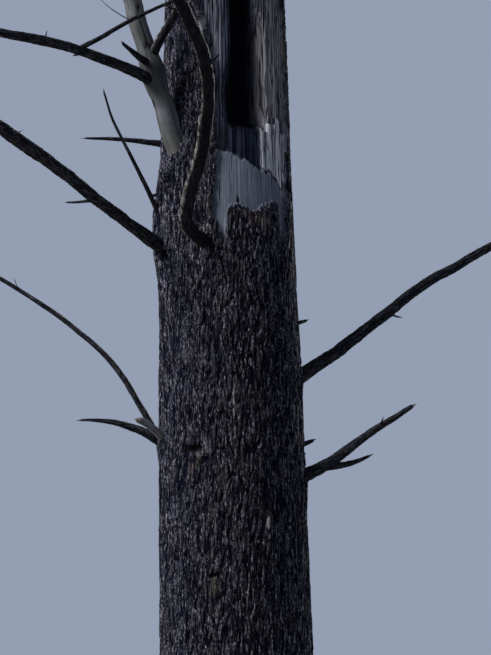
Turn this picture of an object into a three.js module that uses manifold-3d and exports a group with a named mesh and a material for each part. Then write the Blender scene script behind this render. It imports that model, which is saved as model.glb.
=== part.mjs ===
// A dead tree, still rooted, in millimetres with +Z up. The trunk is cut flat at z = 0 and the
// origin is the middle of the cut. Bearings are degrees round from +X, so the front, which has
// the wound, is at 270. Angles from the front are positive towards +X.
import * as THREE from "three";
import { mergeVertices } from "three/addons/utils/BufferGeometryUtils.js";
import Module from "manifold-3d";

const { degToRad, lerp, clamp, smoothstep, euclideanModulo } = THREE.MathUtils;
const wasm = await Module();
wasm.setup();

// Gaps round a limb's foot: to its own twigs, to the trunk and to another limb
const gap = 0.3;
const trunkGap = 0.38;
const limbGap = 0.28;
const front = 270;

// Trunk: [height, radius], how far it leans towards -X, and the ribs of its flared foot
const trunkRadii = [[0, 445], [1000, 425], [2000, 409], [3000, 406], [3500, 404], [4000, 392],
  [4500, 384], [5000, 379], [5500, 371], [6500, 352], [8000, 325], [10000, 285], [12000, 238],
  [13000, 214]];
const lean = { start: 0.0285, easing: 1.2e-6 };
const flare = { reach: 185, height: 330, ribShare: 0.5, fluting: 11, fade: 1700 };
const ribs = { count: 5, share: 0.62, turn: 0.6, fewer: 3, fewerTurn: -1.1 };
const whorlSwell = { reach: 52, bearing: 190, width: 34, height: 4400, rise: 330 };
const uneven = { oval: 5, ovalPitch: 1900, threeSided: 4, threePitch: 1300 };
const sectors = { plain: 12, fine: 6, fineFrom: -36, fineTo: 84 };
const levels = [[0, 60, 1], [60, 600, 4], [600, 2400, 3], [2400, 4140, 5], [4140, 5040, 9],
  [5040, 5500, 2], [5500, 7700, 5], [7700, 11600, 6]]; // [from, to, steps]

// Broken top: a jagged rim over a bowl of rotted wood
const brokenTop = { foot: 11600, rim: 12120, shard: 640, shardBearing: 135, secondShard: 0.45,
  secondTurn: 143, teeth: 9, tooth: 170, toothBase: 0.35, toothSway: 0.4, swayPitch: 12,
  wall: 46, bowlDepth: 620, bowlWall: 95, outerSteps: [0, 0.4, 0.75, 1], innerSteps: [0, 0.45, 1] };

// Wound on the front: its edges, and the top of the pale shield of wood in it, by height
const woundLeft = [[4190, -4], [4350, -12], [4740, -8], [5200, -9], [5440, -17], [5710, -27],
  [6600, -30], [7200, -14], [7600, 18]];
const woundRight = [[4190, -3], [4360, 0], [4410, 52], [4480, 61], [4830, 66], [5500, 72],
  [6600, 66], [7200, 48], [7600, 22]];
const shieldTop = [[-8, 4745], [3, 4745], [13, 4706], [25, 4675], [38, 4636], [52, 4597],
  [59, 4553], [62, 4490]];
const wound = { foot: 4150, top: 7600, bark: 26, step: 22, edge: 3, rise: 60, roofRise: 80 };
const slats = { from: 33, to: 38, top: 4960 };
const hollow = { middle: 20, half: 23, rim: 0.45, foot: 4880, full: 5010, fade: 7000, top: 7450,
  depth: 150 };

// Limbs: start is [height, bearing] on the trunk, and inset how far inside its surface the centre
// line starts; on and at name another limb and the share of its length. The line's headings and
// climbs, and the radii, are spread evenly from foot to tip. collar widens the foot. A mass is
// [stem length, reach round the stem, seed].
const collarReach = 90;
const splinterShare = 0.04; // of a broken limb's length
const limbs = [
  { name: "great_limb", start: [4560, 214], inset: 148, length: 4350,
    headings: [224, 222, 224, 224, 226, 230], climbs: [66, 67, 69, 74, 80, 83],
    radii: [70, 57, 48, 44, 40, 35, 29], collar: 0, sides: 9, rings: 16, wood: "grey_wood",
    mass: [1500, 430, 11] },
  { name: "high_left_bough", on: "great_limb", at: 0.155, inset: 10, length: 1330,
    headings: [226, 226, 227, 228, 230], climbs: [4, 0, -7, -13, -11], radii: [31, 27, 26, 20],
    collar: 8, sides: 7, rings: 9, wood: "bough_bark", mass: [950, 330, 21] },
  { name: "high_left_fork", on: "high_left_bough", at: 0.44, inset: 0, length: 900,
    headings: [21, 21, 19, 18], climbs: [36, 39, 32, 23], radii: [13, 11, 6], collar: 3, sides: 6,
    rings: 6, wood: "bough_bark", broken: true },
  { name: "crotch_arm", on: "great_limb", at: 0.185, inset: 10, length: 760,
    headings: [301, 305, 306, 303], climbs: [36, 32, 30, 31], radii: [26, 21, 17], collar: 4,
    sides: 7, rings: 6, wood: "bough_bark", broken: true },
  { name: "crotch_stub", on: "great_limb", at: 0.178, inset: 10, length: 400,
    headings: [247, 248, 252], climbs: [-4, -6, 1], radii: [20, 16, 7], collar: 4, sides: 6,
    rings: 4, wood: "bough_bark", broken: true },
  { name: "great_limb_rear_bough", on: "great_limb", at: 0.5, inset: 10, length: 1050,
    headings: [160, 150, 145], climbs: [35, 22, 30], radii: [24, 19, 14], collar: 7, sides: 6,
    rings: 6, wood: "grey_wood", mass: [900, 330, 12] },
  { name: "great_limb_front_bough", on: "great_limb", at: 0.68, inset: 10, length: 850,
    headings: [292, 300, 305], climbs: [38, 25, 35], radii: [20, 16, 12], collar: 6, sides: 6,
    rings: 5, wood: "grey_wood", mass: [800, 300, 13] },
  { name: "upper_left_stub", start: [4915, 182], inset: 60, length: 560, headings: [198, 198],
    climbs: [2, -2, -8], radii: [19, 13, 5], collar: 8, sides: 6, rings: 5, wood: "bough_bark",
    broken: true },
  { name: "slender_left_branch", start: [4310, 190], inset: 60, length: 950,
    headings: [248, 226, 226, 246], climbs: [61, 50, 51, 60], radii: [17, 11, 5], collar: 5,
    sides: 6, rings: 8, wood: "bough_bark", broken: true },
  { name: "mid_left_bough", start: [4232, 193], inset: 60, length: 2000,
    headings: [241, 242, 244, 246, 247, 248], climbs: [7, 6, 7, 3, 0, 2], radii: [38, 32, 33, 29],
    collar: 10, sides: 8, rings: 11, wood: "bough_bark", mass: [1250, 380, 22] },
  { name: "low_left_bough", start: [3075, 168], inset: 40, length: 1740,
    headings: [180, 180, 180], climbs: [57, 62, 46, 36, 31, 29], radii: [19, 15, 11], collar: 8,
    sides: 6, rings: 11, wood: "bough_bark", mass: [800, 250, 23] },
  { name: "low_left_stub", start: [3090, 187], inset: 60, length: 570, headings: [193, 192, 192],
    climbs: [30, 24, 6, -10], radii: [26, 19, 4], collar: 14, sides: 7, rings: 7,
    wood: "bough_bark", broken: true },
  { name: "low_left_snag", start: [3085, 190], inset: 50, length: 320, headings: [240, 228, 222],
    climbs: [37, 24, 9], radii: [24, 21, 17], collar: 5, sides: 7, rings: 4, wood: "grey_wood",
    broken: true },
  { name: "front_bough", start: [4195, 253], inset: 80, length: 2330,
    headings: [245, 245, 279, 288, 281, 276, 265, 253, 254, 258, 262],
    climbs: [-3, 5, 22, 30, 33, 26, 22, 15, 14, 14, 18], radii: [43, 33, 27], collar: 6, sides: 8,
    rings: 20, wood: "bough_bark", mass: [1150, 330, 24] },
  { name: "mid_right_bough", start: [3480, 8], inset: 60, length: 2150,
    headings: [16, 16, 16, 16, 14, 14, 13, 12], climbs: [33, 37, 40, 39, 31, 32, 34, 34],
    radii: [40, 34, 30, 24, 19], collar: 11, sides: 8, rings: 11, wood: "bough_bark",
    mass: [1150, 360, 25] },
  { name: "low_right_bough", start: [2892, 346], inset: 60, length: 825,
    headings: [339, 338, 336, 337, 336], climbs: [23, 23, 33, 32, 25, 30], radii: [39, 24, 11],
    collar: 10, sides: 8, rings: 9, wood: "bough_bark", broken: true },
  { name: "low_right_fork", on: "low_right_bough", at: 0.22, inset: 5, length: 300,
    headings: [350, 350], climbs: [-3, 14, 26], radii: [21, 16, 5], collar: 2, sides: 6, rings: 4,
    wood: "bough_bark", broken: true },
  { name: "rear_low_bough", start: [3400, 96], inset: 60, length: 1500, headings: [94, 89, 91],
    climbs: [14, 6, 12], radii: [34, 27, 20], collar: 9, sides: 7, rings: 7, wood: "bough_bark",
    mass: [1050, 330, 26] },
  { name: "rear_high_bough", start: [4700, 84], inset: 60, length: 1450, headings: [85, 92, 88],
    climbs: [10, 5, -2], radii: [36, 29, 21], collar: 9, sides: 7, rings: 7, wood: "bough_bark",
    mass: [1100, 330, 27] },
];

// Whorls above: the bearings of a whorl's boughs, how long they are, and how many of them still
// have their twigs. The others are broken short.
const whorls = [
  { height: 6350, bearings: [345, 286, 178], length: 1700, twiggy: 2 },
  { height: 7350, bearings: [62, 318, 118], length: 1650, twiggy: 2 },
  { height: 8350, bearings: [8, 172, 268], length: 1500, twiggy: 2 },
  { height: 9350, bearings: [140, 330, 48], length: 1300, twiggy: 2 },
  { height: 10300, bearings: [205, 95, 292], length: 1050, twiggy: 2 },
  { height: 11150, bearings: [15, 248, 130], length: 800, twiggy: 1 },
];
const whorlBough = { seed: 1907, inset: 50, vary: 0.12, swing: 34, jitter: 260, rise: [-2, 20],
  risePerWhorl: 3, climbs: [8, -6, -3, 12], girth: 0.0215, middle: 0.82, tip: 0.55, collar: 0.28,
  stubLength: 0.36, stubGirth: 0.8, barkWhorls: 3, massLength: 0.72, massReach: 0.2, massSeed: 40,
  sides: 7, rings: 7, stubRings: 4 };

// Twigs of a mass: order 0 is its stem, order 1 grows from the stem and order 2 from order 1.
// share is a twig's length as a share of the stem, at the stem's foot and at its tip.
const twigRule = { steps: [5, 3, 2], perMetre: 5, fewer: 2, from: [0.1, 0.3], over: [0.82, 0.55],
  wander: 9, lift: 4, out: [38, 64], round: [48, 132], share: [0.46, 0.24], vary: 0.25,
  shareOfTwig: 0.42, girth: 0.52, tipRadius: 1.6, leastRadius: 2.4, taper: 0.8, clear: 4, sides: 3 };

const woods = {
  trunk_bark: { color: 0x4a4440, roughness: 0.95, metalness: 0 },
  bough_bark: { color: 0x4e4a42, roughness: 0.9, metalness: 0 },
  grey_wood: { color: 0x77776b, roughness: 0.8, metalness: 0 },
  twig: { color: 0x3f3a35, roughness: 0.9, metalness: 0 },
};

// Small tools: random numbers from a seed, values between listed ones, and a line of short steps

function seeded(seed) {
  let a = seed >>> 0;
  return () => {
    a = (a + 0x6d2b79f5) | 0;
    let t = Math.imul(a ^ (a >>> 15), 1 | a);
    t = (t + Math.imul(t ^ (t >>> 7), 61 | t)) ^ t;
    return ((t ^ (t >>> 14)) >>> 0) / 4294967296;
  };
}

// Value at t in [where, value] pairs
function along(pairs, t) {
  const i = pairs.findIndex(([where]) => t <= where);
  if (i === -1) return pairs[pairs.length - 1][1];
  if (i === 0) return pairs[0][1];
  const [a, before] = pairs[i - 1];
  const [b, after] = pairs[i];
  return lerp(before, after, (t - a) / (b - a));
}

// Value at share s of values that are evenly spread
function spread(values, s) {
  const t = clamp(s, 0, 1) * (values.length - 1);
  const i = Math.min(values.length - 2, Math.floor(t));
  return lerp(values[i], values[i + 1], t - i);
}

const signedTurn = (degrees) => euclideanModulo(degrees + 180, 360) - 180;
const bump = (t) => Math.exp(-t * t);
const up = new THREE.Vector3(0, 0, 1);

function course(heading, climb) {
  const level = Math.cos(degToRad(climb));
  return new THREE.Vector3(level * Math.cos(degToRad(heading)), level * Math.sin(degToRad(heading)),
    Math.sin(degToRad(climb)));
}

class StepLine extends THREE.Curve {
  constructor(points) {
    super();
    this.points = points;
  }

  getPoint(s, target = new THREE.Vector3()) {
    const t = clamp(s, 0, 1) * (this.points.length - 1);
    const i = Math.min(this.points.length - 2, Math.floor(t));
    return target.copy(this.points[i]).lerp(this.points[i + 1], t - i);
  }
}

// Solids: a capped cylinder whose points are moved to place(ring, side, out), where out is 0 at
// the middle of a cap

function solidOf(geometry) {
  return new wasm.Manifold(new wasm.Mesh({
    numProp: 3,
    vertProperties: geometry.attributes.position.array,
    triVerts: Uint32Array.from(geometry.index.array),
  }));
}

function tube(sides, rings, pointed, place) {
  let geometry = new THREE.CylinderGeometry(pointed ? 0 : 1, 1, 1, sides, rings);
  geometry.deleteAttribute("normal");
  geometry.deleteAttribute("uv");
  geometry = mergeVertices(geometry);
  const { position } = geometry.attributes;
  for (let n = 0; n < position.count; n++) {
    const x = position.getX(n);
    const z = position.getZ(n);
    const ring = Math.round((position.getY(n) + 0.5) * rings);
    const side = Math.round(euclideanModulo(Math.atan2(x, z) / (2 * Math.PI), 1) * sides) % sides;
    const p = place(ring, side, Math.hypot(x, z) > 1e-6 ? 1 : 0);
    position.setXYZ(n, p.x, p.y, p.z);
  }
  return solidOf(geometry);
}

// Tapered tube along a line, with rings [share of the line, radius] and frames that don't twist
function taperedTube(line, rings, sides, pointed) {
  const steps = line.points.length - 1;
  const { normals, binormals } = line.computeFrenetFrames(steps, false);
  return tube(sides, rings.length - 1, pointed, (ring, side, out) => {
    const [s, radius] = rings[ring];
    const nearest = Math.round(s * steps);
    const turn = (2 * Math.PI * side) / sides;
    return line.getPoint(s)
      .addScaledVector(normals[nearest], out * radius * Math.cos(turn))
      .addScaledVector(binormals[nearest], out * radius * Math.sin(turn));
  });
}

function largestBody(solid) {
  return solid.decompose().reduce((a, b) => (b.volume() > a.volume() ? b : a));
}

// What is left of a solid outside the rooms that earlier pieces keep round them
function clearOf(rooms, solid) {
  for (const room of rooms) {
    if (solid.intersect(room).volume() > 0) solid = solid.subtract(room);
  }
  return largestBody(solid);
}

// Trunk

const axisX = (z) => -lean.start * z + lean.easing * z * z;

function woundDepth(phi, z) {
  const inside = smoothstep(phi - along(woundLeft, z), -wound.edge / 2, wound.edge / 2)
    * smoothstep(along(woundRight, z) - phi, -wound.edge / 2, wound.edge / 2)
    * smoothstep(z, wound.foot, wound.foot + wound.rise)
    * (1 - smoothstep(z, wound.top - wound.roofRise, wound.top));
  const overShield = smoothstep(z - along(shieldTop, phi), -wound.rise, wound.rise);
  const overSlats = 1 - smoothstep(phi, slats.from, slats.to)
    * (1 - smoothstep(z, slats.top - wound.rise, slats.top + wound.rise));
  const across = clamp(1 - Math.abs(phi - hollow.middle) / hollow.half, 0, 1);
  const opened = smoothstep(across, 0, hollow.rim) * smoothstep(z, hollow.foot, hollow.full)
    * (1 - smoothstep(z, hollow.fade, hollow.top));
  return inside * (wound.bark + wound.step * Math.min(overShield, overSlats) + hollow.depth * opened);
}

function trunkRadius(bearing, z) {
  const a = degToRad(bearing);
  const rib = ribs.share * Math.cos(ribs.count * a + ribs.turn)
    + (1 - ribs.share) * Math.cos(ribs.fewer * a + ribs.fewerTurn);
  const foot = flare.reach * Math.exp(-z / flare.height) * (1 + flare.ribShare * rib);
  const flutes = flare.fluting * Math.exp(-z / flare.fade) * rib;
  const swell = whorlSwell.reach * bump(signedTurn(bearing - whorlSwell.bearing) / whorlSwell.width)
    * bump((z - whorlSwell.height) / whorlSwell.rise);
  const out = uneven.oval * Math.cos(2 * a + z / uneven.ovalPitch)
    + uneven.threeSided * Math.cos(3 * a - z / uneven.threePitch);
  return along(trunkRadii, z) + foot + flutes + swell + out - woundDepth(signedTurn(bearing - front), z);
}

function trunkPoint(bearing, z, radius) {
  const a = degToRad(bearing);
  return new THREE.Vector3(axisX(z) + radius * Math.cos(a), radius * Math.sin(a), z);
}

function rimHeight(bearing) {
  const a = degToRad(bearing - brokenTop.shardBearing);
  const shard = Math.max(0, Math.cos(a)) ** 3
    + brokenTop.secondShard * Math.max(0, Math.cos(a + degToRad(brokenTop.secondTurn))) ** 6;
  const saw = Math.abs(2 * euclideanModulo((bearing / 360) * brokenTop.teeth, 1) - 1);
  const sway = brokenTop.toothSway * Math.sin(degToRad(bearing * brokenTop.swayPitch));
  return brokenTop.rim + brokenTop.shard * shard + brokenTop.tooth * (saw - brokenTop.toothBase + sway);
}

function trunkSolid(grow) {
  const bearings = [];
  for (let phi = -180; phi < 180;) {
    bearings.push(front + phi);
    phi += phi >= sectors.fineFrom && phi < sectors.fineTo ? sectors.fine : sectors.plain;
  }
  const rings = [];
  for (const [from, to, steps] of levels) {
    for (let i = 0; i < steps; i++) {
      const z = lerp(from, to, i / steps);
      rings.push((b) => trunkPoint(b, z, trunkRadius(b, z) + grow));
    }
  }
  for (const t of brokenTop.outerSteps) {
    rings.push((b) => {
      const z = lerp(brokenTop.foot, rimHeight(b) + grow, t);
      return trunkPoint(b, z, trunkRadius(b, z) + grow);
    });
  }
  const bowlFloor = brokenTop.rim - brokenTop.bowlDepth;
  for (const t of brokenTop.innerSteps) {
    rings.push((b) => {
      const z = lerp(rimHeight(b), bowlFloor, t);
      return trunkPoint(b, z, trunkRadius(b, z) - lerp(brokenTop.wall, brokenTop.bowlWall, t));
    });
  }
  const last = rings.length - 1;
  return tube(bearings.length, last, false, (ring, side, out) => {
    if (out) return rings[ring](bearings[side]);
    return ring === 0 ? new THREE.Vector3(0, 0, 0) : trunkPoint(0, bowlFloor, 0);
  });
}

// Limbs

const lineSteps = 48;

function limbLine(limb, start) {
  const points = [start];
  for (let i = 0; i < lineSteps; i++) {
    const s = (i + 0.5) / lineSteps;
    const way = course(spread(limb.headings, s), spread(limb.climbs, s));
    points.push(points[i].clone().addScaledVector(way, limb.length / lineSteps));
  }
  return new StepLine(points);
}

function limbRadius(limb, s) {
  return spread(limb.radii, s) + limb.collar * Math.exp((-s * limb.length) / collarReach);
}

// A limb that lost its end closes to a point; the tip of any other is cut square
function limbSolid(limb, grow) {
  const rings = [];
  for (let i = 0; i <= limb.rings; i++) {
    const s = (i / limb.rings) * (limb.broken ? 1 - splinterShare : 1);
    rings.push([s, limbRadius(limb, s) + grow]);
  }
  if (limb.broken) rings.push([1, 0]);
  return taperedTube(limb.line, rings, limb.sides, limb.broken);
}

function growWhorls() {
  const roll = seeded(whorlBough.seed);
  whorls.forEach((whorl, w) => {
    whorl.bearings.forEach((bearing, k) => {
      const twiggy = k < whorl.twiggy;
      const number = w * whorl.bearings.length + k + 1;
      const vary = lerp(1 - whorlBough.vary, 1 + whorlBough.vary, roll());
      const foot = whorl.length * whorlBough.girth * (twiggy ? 1 : whorlBough.stubGirth);
      const swing = (roll() - 0.5) * whorlBough.swing;
      const rise = lerp(...whorlBough.rise, roll()) + w * whorlBough.risePerWhorl;
      limbs.push({
        name: `${twiggy ? "whorl_bough" : "whorl_stub"}_${number}`,
        start: [whorl.height + (roll() - 0.5) * whorlBough.jitter, bearing],
        inset: whorlBough.inset,
        length: whorl.length * vary * (twiggy ? 1 : whorlBough.stubLength) + whorlBough.inset,
        headings: [bearing - swing / 2, bearing + swing / 2, bearing + swing],
        climbs: whorlBough.climbs.map((climb) => rise + climb),
        radii: [foot, foot * whorlBough.middle, foot * whorlBough.tip],
        collar: foot * whorlBough.collar,
        sides: whorlBough.sides,
        rings: twiggy ? whorlBough.rings : whorlBough.stubRings,
        wood: w < whorlBough.barkWhorls ? "bough_bark" : "grey_wood",
        broken: !twiggy,
        mass: twiggy && [whorl.length * whorlBough.massLength, whorl.length * whorlBough.massReach,
          whorlBough.massSeed + number],
      });
    });
  });
}

// Masses of twigs

// Shortest distance between the segments a-b and c-d
function between(a, b, c, d) {
  const u = b.clone().sub(a);
  const v = d.clone().sub(c);
  const w = a.clone().sub(c);
  const uu = u.lengthSq();
  const uv = u.dot(v);
  const vv = v.lengthSq();
  const vw = v.dot(w);
  const level = uu * vv - uv * uv;
  const s = level > 1e-9 * uu * vv ? clamp((uv * vw - vv * u.dot(w)) / level, 0, 1) : 0;
  const t = clamp((uv * s + vw) / vv, 0, 1);
  const nearest = clamp((uv * t - u.dot(w)) / uu, 0, 1);
  return w.addScaledVector(u, nearest).addScaledVector(v, -t).length();
}

// Capsules round everything that a twig has to clear
const taken = [];

function takeLine(line, owner, radius) {
  const count = line.points.length - 1;
  for (let i = 0; i < count; i++) {
    taken.push({ a: line.points[i], b: line.points[i + 1], radius: radius(i / count), owner });
  }
}

function isClear(twig, owner) {
  const { points } = twig.line;
  return taken.every(({ a, b, radius, owner: other }) => {
    if (other === owner || Math.abs(a.z - points[0].z) > twig.length + 300) return true;
    return points.every((p, i) => i === 0
      || between(points[i - 1], p, a, b) > radius + twig.radii[i - 1] + twigRule.clear);
  });
}

// A twig sets off in a way, then wanders sideways and lifts at each step
function growTwig(order, start, way, length, foot, roll) {
  const steps = twigRule.steps[order];
  const points = [start];
  let ahead = way;
  for (let i = 0; i < steps; i++) {
    points.push(points[i].clone().addScaledVector(ahead, length / steps));
    const side = ahead.clone().cross(up).normalize();
    const over = side.clone().cross(ahead);
    const turn = Math.tan(degToRad((roll() - 0.5) * 2 * twigRule.wander));
    const lift = Math.tan(degToRad((roll() - 0.5) * twigRule.wander + twigRule.lift));
    ahead = ahead.clone().addScaledVector(side, turn).addScaledVector(over, lift).normalize();
  }
  const radii = points.map((_, i) => lerp(foot, twigRule.tipRadius, (i / steps) ** twigRule.taper));
  return { order, line: new StepLine(points), radii, length };
}

// The way a side twig sets off: out from its parent, alternately on its two sides
function sideWay(ahead, number, roll) {
  const side = ahead.clone().cross(up).normalize();
  const over = side.clone().cross(ahead);
  const round = degToRad((number % 2 ? 1 : -1) * lerp(...twigRule.round, roll()));
  const out = degToRad(lerp(...twigRule.out, roll()));
  const away = over.multiplyScalar(Math.cos(round)).addScaledVector(side, Math.sin(round));
  return ahead.clone().multiplyScalar(Math.cos(out)).addScaledVector(away, Math.sin(out));
}

function growMass(limb) {
  const [length, reach, seed] = limb.mass;
  const tip = limb.line.getPoint(1);
  const way = tip.clone().sub(limb.line.points[lineSteps - 1]).normalize();
  const foot = tip.clone().addScaledVector(way, gap);
  const stem = growTwig(0, foot, way, length, limbRadius(limb, 1), seeded(seed));
  const twigs = [stem];
  for (let t = 0; t < twigs.length; t++) {
    const parent = twigs[t];
    const count = [Math.round((length / 1000) * twigRule.perMetre), twigRule.fewer, 0][parent.order];
    for (let i = 0; i < count; i++) {
      const roll = seeded(seed * 7919 + t * 131 + i * 17);
      const s = twigRule.from[parent.order] + (twigRule.over[parent.order] * (i + roll() / 2)) / count;
      const start = parent.line.getPoint(s);
      const ahead = parent.line.getTangent(s);
      const vary = lerp(1 - twigRule.vary, 1 + twigRule.vary, roll());
      const share = parent === stem ? lerp(...twigRule.share, s) : twigRule.shareOfTwig;
      const long = vary * share * parent.length;
      const girth = Math.max(twigRule.leastRadius, spread(parent.radii, s) * twigRule.girth);
      const twig = growTwig(parent.order + 1, start, sideWay(ahead, i, roll), long, girth, roll);
      const stays = twig.line.points.every((p) => stem.line.points.some((q, k) => k > 0
        && between(p, p.clone().add(up), stem.line.points[k - 1], q) < reach));
      if (stays && isClear(twig, limb.name)) twigs.push(twig);
    }
  }
  for (const twig of twigs) takeLine(twig.line, `${limb.name}_twigs`, (s) => spread(twig.radii, s));
  return wasm.Manifold.union(twigs.map(({ line, radii }) => {
    const rings = radii.map((radius, i) => [i / (radii.length - 1), radius]);
    return taperedTube(line, rings, twigRule.sides, true);
  }));
}

// The tree

const tree = new THREE.Group();
tree.name = "dead_tree";

function addPiece(name, solid, wood) {
  const mesh = solid.getMesh();
  const geometry = new THREE.BufferGeometry();
  geometry.setAttribute("position", new THREE.BufferAttribute(mesh.vertProperties, mesh.numProp));
  geometry.setIndex(new THREE.BufferAttribute(mesh.triVerts, 1));
  const piece = new THREE.Mesh(mergeVertices(geometry), new THREE.MeshStandardMaterial(woods[wood]));
  piece.name = name;
  tree.add(piece);
}

growWhorls();
const byName = {};
for (const limb of limbs) {
  if (limb.on) {
    const foot = byName[limb.on].line.getPoint(limb.at);
    limb.line = limbLine(limb, foot.addScaledVector(course(limb.headings[0], limb.climbs[0]), limb.inset));
  } else {
    const [z, bearing] = limb.start;
    limb.line = limbLine(limb, trunkPoint(bearing, z, trunkRadius(bearing, z) - limb.inset));
  }
  byName[limb.name] = limb;
}

const trunkStep = 200;
const trunkMargin = 60;
const trunkAxis = new StepLine([]);
for (let z = 0; z < brokenTop.rim; z += trunkStep) trunkAxis.points.push(trunkPoint(0, z, 0));
takeLine(trunkAxis, "trunk", (s) => along(trunkRadii, s * brokenTop.rim) + trunkMargin);
for (const limb of limbs) takeLine(limb.line, limb.name, (s) => limbRadius(limb, s));

addPiece("trunk", trunkSolid(0), "trunk_bark");
const rooms = [trunkSolid(trunkGap)];
for (const limb of limbs) {
  addPiece(limb.name, clearOf(rooms, limbSolid(limb, 0)), limb.wood);
  rooms.push(limbSolid(limb, limbGap));
}
for (const limb of limbs) {
  if (limb.mass) addPiece(`${limb.name}_twigs`, clearOf(rooms, growMass(limb)), "twig");
}

export default tree;
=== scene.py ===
import math

import bmesh
import bpy
import numpy as np
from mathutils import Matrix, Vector


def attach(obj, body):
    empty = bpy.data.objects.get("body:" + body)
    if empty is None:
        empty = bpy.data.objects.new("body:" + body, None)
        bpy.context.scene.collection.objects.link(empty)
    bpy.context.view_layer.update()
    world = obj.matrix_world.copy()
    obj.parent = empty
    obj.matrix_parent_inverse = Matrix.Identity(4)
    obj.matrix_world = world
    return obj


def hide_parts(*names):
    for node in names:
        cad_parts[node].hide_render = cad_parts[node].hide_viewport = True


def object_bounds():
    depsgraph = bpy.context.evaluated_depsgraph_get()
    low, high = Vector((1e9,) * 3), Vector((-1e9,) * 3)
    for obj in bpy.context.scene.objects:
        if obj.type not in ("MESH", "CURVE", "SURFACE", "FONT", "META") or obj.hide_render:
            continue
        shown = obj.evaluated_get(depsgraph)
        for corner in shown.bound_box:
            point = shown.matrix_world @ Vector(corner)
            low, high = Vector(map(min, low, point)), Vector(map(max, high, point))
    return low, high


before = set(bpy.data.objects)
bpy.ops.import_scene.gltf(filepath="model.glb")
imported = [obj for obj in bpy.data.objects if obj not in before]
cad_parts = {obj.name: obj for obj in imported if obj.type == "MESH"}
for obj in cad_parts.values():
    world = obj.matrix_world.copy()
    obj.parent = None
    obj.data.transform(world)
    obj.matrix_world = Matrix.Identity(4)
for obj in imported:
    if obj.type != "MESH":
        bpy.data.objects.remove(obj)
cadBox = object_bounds()

# Camera, floor and light. The camera stands in front of the tree and looks up at the wound.
shot = {"place": (0.0, -8.2, 1.6), "pitch": 15.0, "lens": 81.0, "clipEnd": 400}
studio = {
    "worldColor": (0.64, 0.75, 0.98), "worldStrength": 0.46,
    "floorColor": (0.26, 0.26, 0.258), "floorMottle": 0.96, "floorRadius": 90.0, "floorSides": 96,
    # name, place, aimed at, size, watts, colour
    "lights": [
        ("sun_side", (-9.0, -5.0, 12.0), (0.0, 0.0, 5.0), 6.0, 4200, (1.0, 0.97, 0.93)),
        ("sky_side", (8.0, -9.0, 7.0), (0.0, 0.0, 5.5), 7.0, 45, (0.80, 0.88, 1.0)),
        ("rear_side", (4.6, 9.8, 11.0), (0.0, 0.0, 6.0), 7.0, 5000, (1.0, 0.98, 0.96)),
    ],
}


def addObject(name, data):
    thing = bpy.data.objects.new(name, data)
    bpy.context.collection.objects.link(thing)
    return thing


def makeCamera():
    data = bpy.data.cameras.new("camera")
    data.lens = shot["lens"]
    data.clip_end = shot["clipEnd"]
    camera = addObject("camera", data)
    camera.location = shot["place"]
    camera.rotation_euler = (math.radians(90 + shot["pitch"]), 0, 0)
    bpy.context.scene.camera = camera


def makeLights():
    for name, place, target, size, watts, color in studio["lights"]:
        data = bpy.data.lights.new(name, "AREA")
        data.shape, data.size, data.energy, data.color = "DISK", size, watts, color
        lamp = addObject(name, data)
        lamp.location = place
        lamp.rotation_euler = (Vector(target) - Vector(place)).to_track_quat("-Z", "Y").to_euler()
    world = bpy.data.worlds.new("pale_sky")
    bpy.context.scene.world = world
    world.use_nodes = True
    background = world.node_tree.nodes["Background"]
    background.inputs["Color"].default_value = (*studio["worldColor"], 1)
    background.inputs["Strength"].default_value = studio["worldStrength"]


makeCamera()
makeLights()
bpy.context.scene.view_settings.view_transform = "Standard"
print("camera and light")

# Measures of the tree, in metres and degrees. Bearings go round from +X, so the front is 270, and
# angles from the front are positive towards +X.
front = 270
trunkRadii = [(0, 0.445), (1, 0.425), (2, 0.409), (3, 0.406), (3.5, 0.404), (4, 0.392),
              (4.5, 0.384), (5, 0.379), (5.5, 0.371), (6.5, 0.352), (8, 0.325), (10, 0.285),
              (12, 0.238), (13, 0.214)]
lean = {"start": 0.0285, "easing": 1.2e-3}
flare = {"reach": 0.185, "height": 0.33, "ribShare": 0.5, "fluting": 0.011, "fade": 1.7}
ribs = {"count": 5, "share": 0.62, "turn": 0.6, "fewer": 3, "fewerTurn": -1.1}
whorlSwell = {"reach": 0.052, "bearing": 190, "width": 34, "height": 4.4, "rise": 0.33}
uneven = {"oval": 0.005, "ovalPitch": 1.9, "threeSided": 0.004, "threePitch": 1.3}
brokenTop = {"foot": 11.6, "rim": 12.12, "shard": 0.64, "shardBearing": 135, "secondShard": 0.45,
             "secondTurn": 143, "teeth": 9, "tooth": 0.17, "toothBase": 0.35, "toothSway": 0.4,
             "swayPitch": 12, "wall": 0.046, "bowlDepth": 0.62, "bowlWall": 0.095}
woundLeft = [(4.19, -4), (4.35, -12), (4.74, -8), (5.2, -9), (5.44, -17), (5.71, -27), (6.6, -30),
             (7.2, -14), (7.6, 18)]
woundRight = [(4.19, -3), (4.36, 0), (4.41, 52), (4.48, 61), (4.83, 66), (5.5, 72), (6.6, 66),
              (7.2, 48), (7.6, 22)]
shieldTop = [(-8, 4.745), (3, 4.745), (13, 4.706), (25, 4.675), (38, 4.636), (52, 4.597),
             (59, 4.553), (62, 4.49)]
wound = {"foot": 4.15, "top": 7.6, "bark": 0.026, "step": 0.022, "edge": 3, "rise": 0.06,
         "roofRise": 0.08}
slats = {"from": 33, "to": 38, "top": 4.96, "gaps": [37.9, 47.2, 50.2, 61.0]}
hollow = {"middle": 20, "half": 23, "rim": 0.45, "foot": 4.88, "full": 5.01, "fade": 7.0,
          "top": 7.45, "depth": 0.15}

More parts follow.
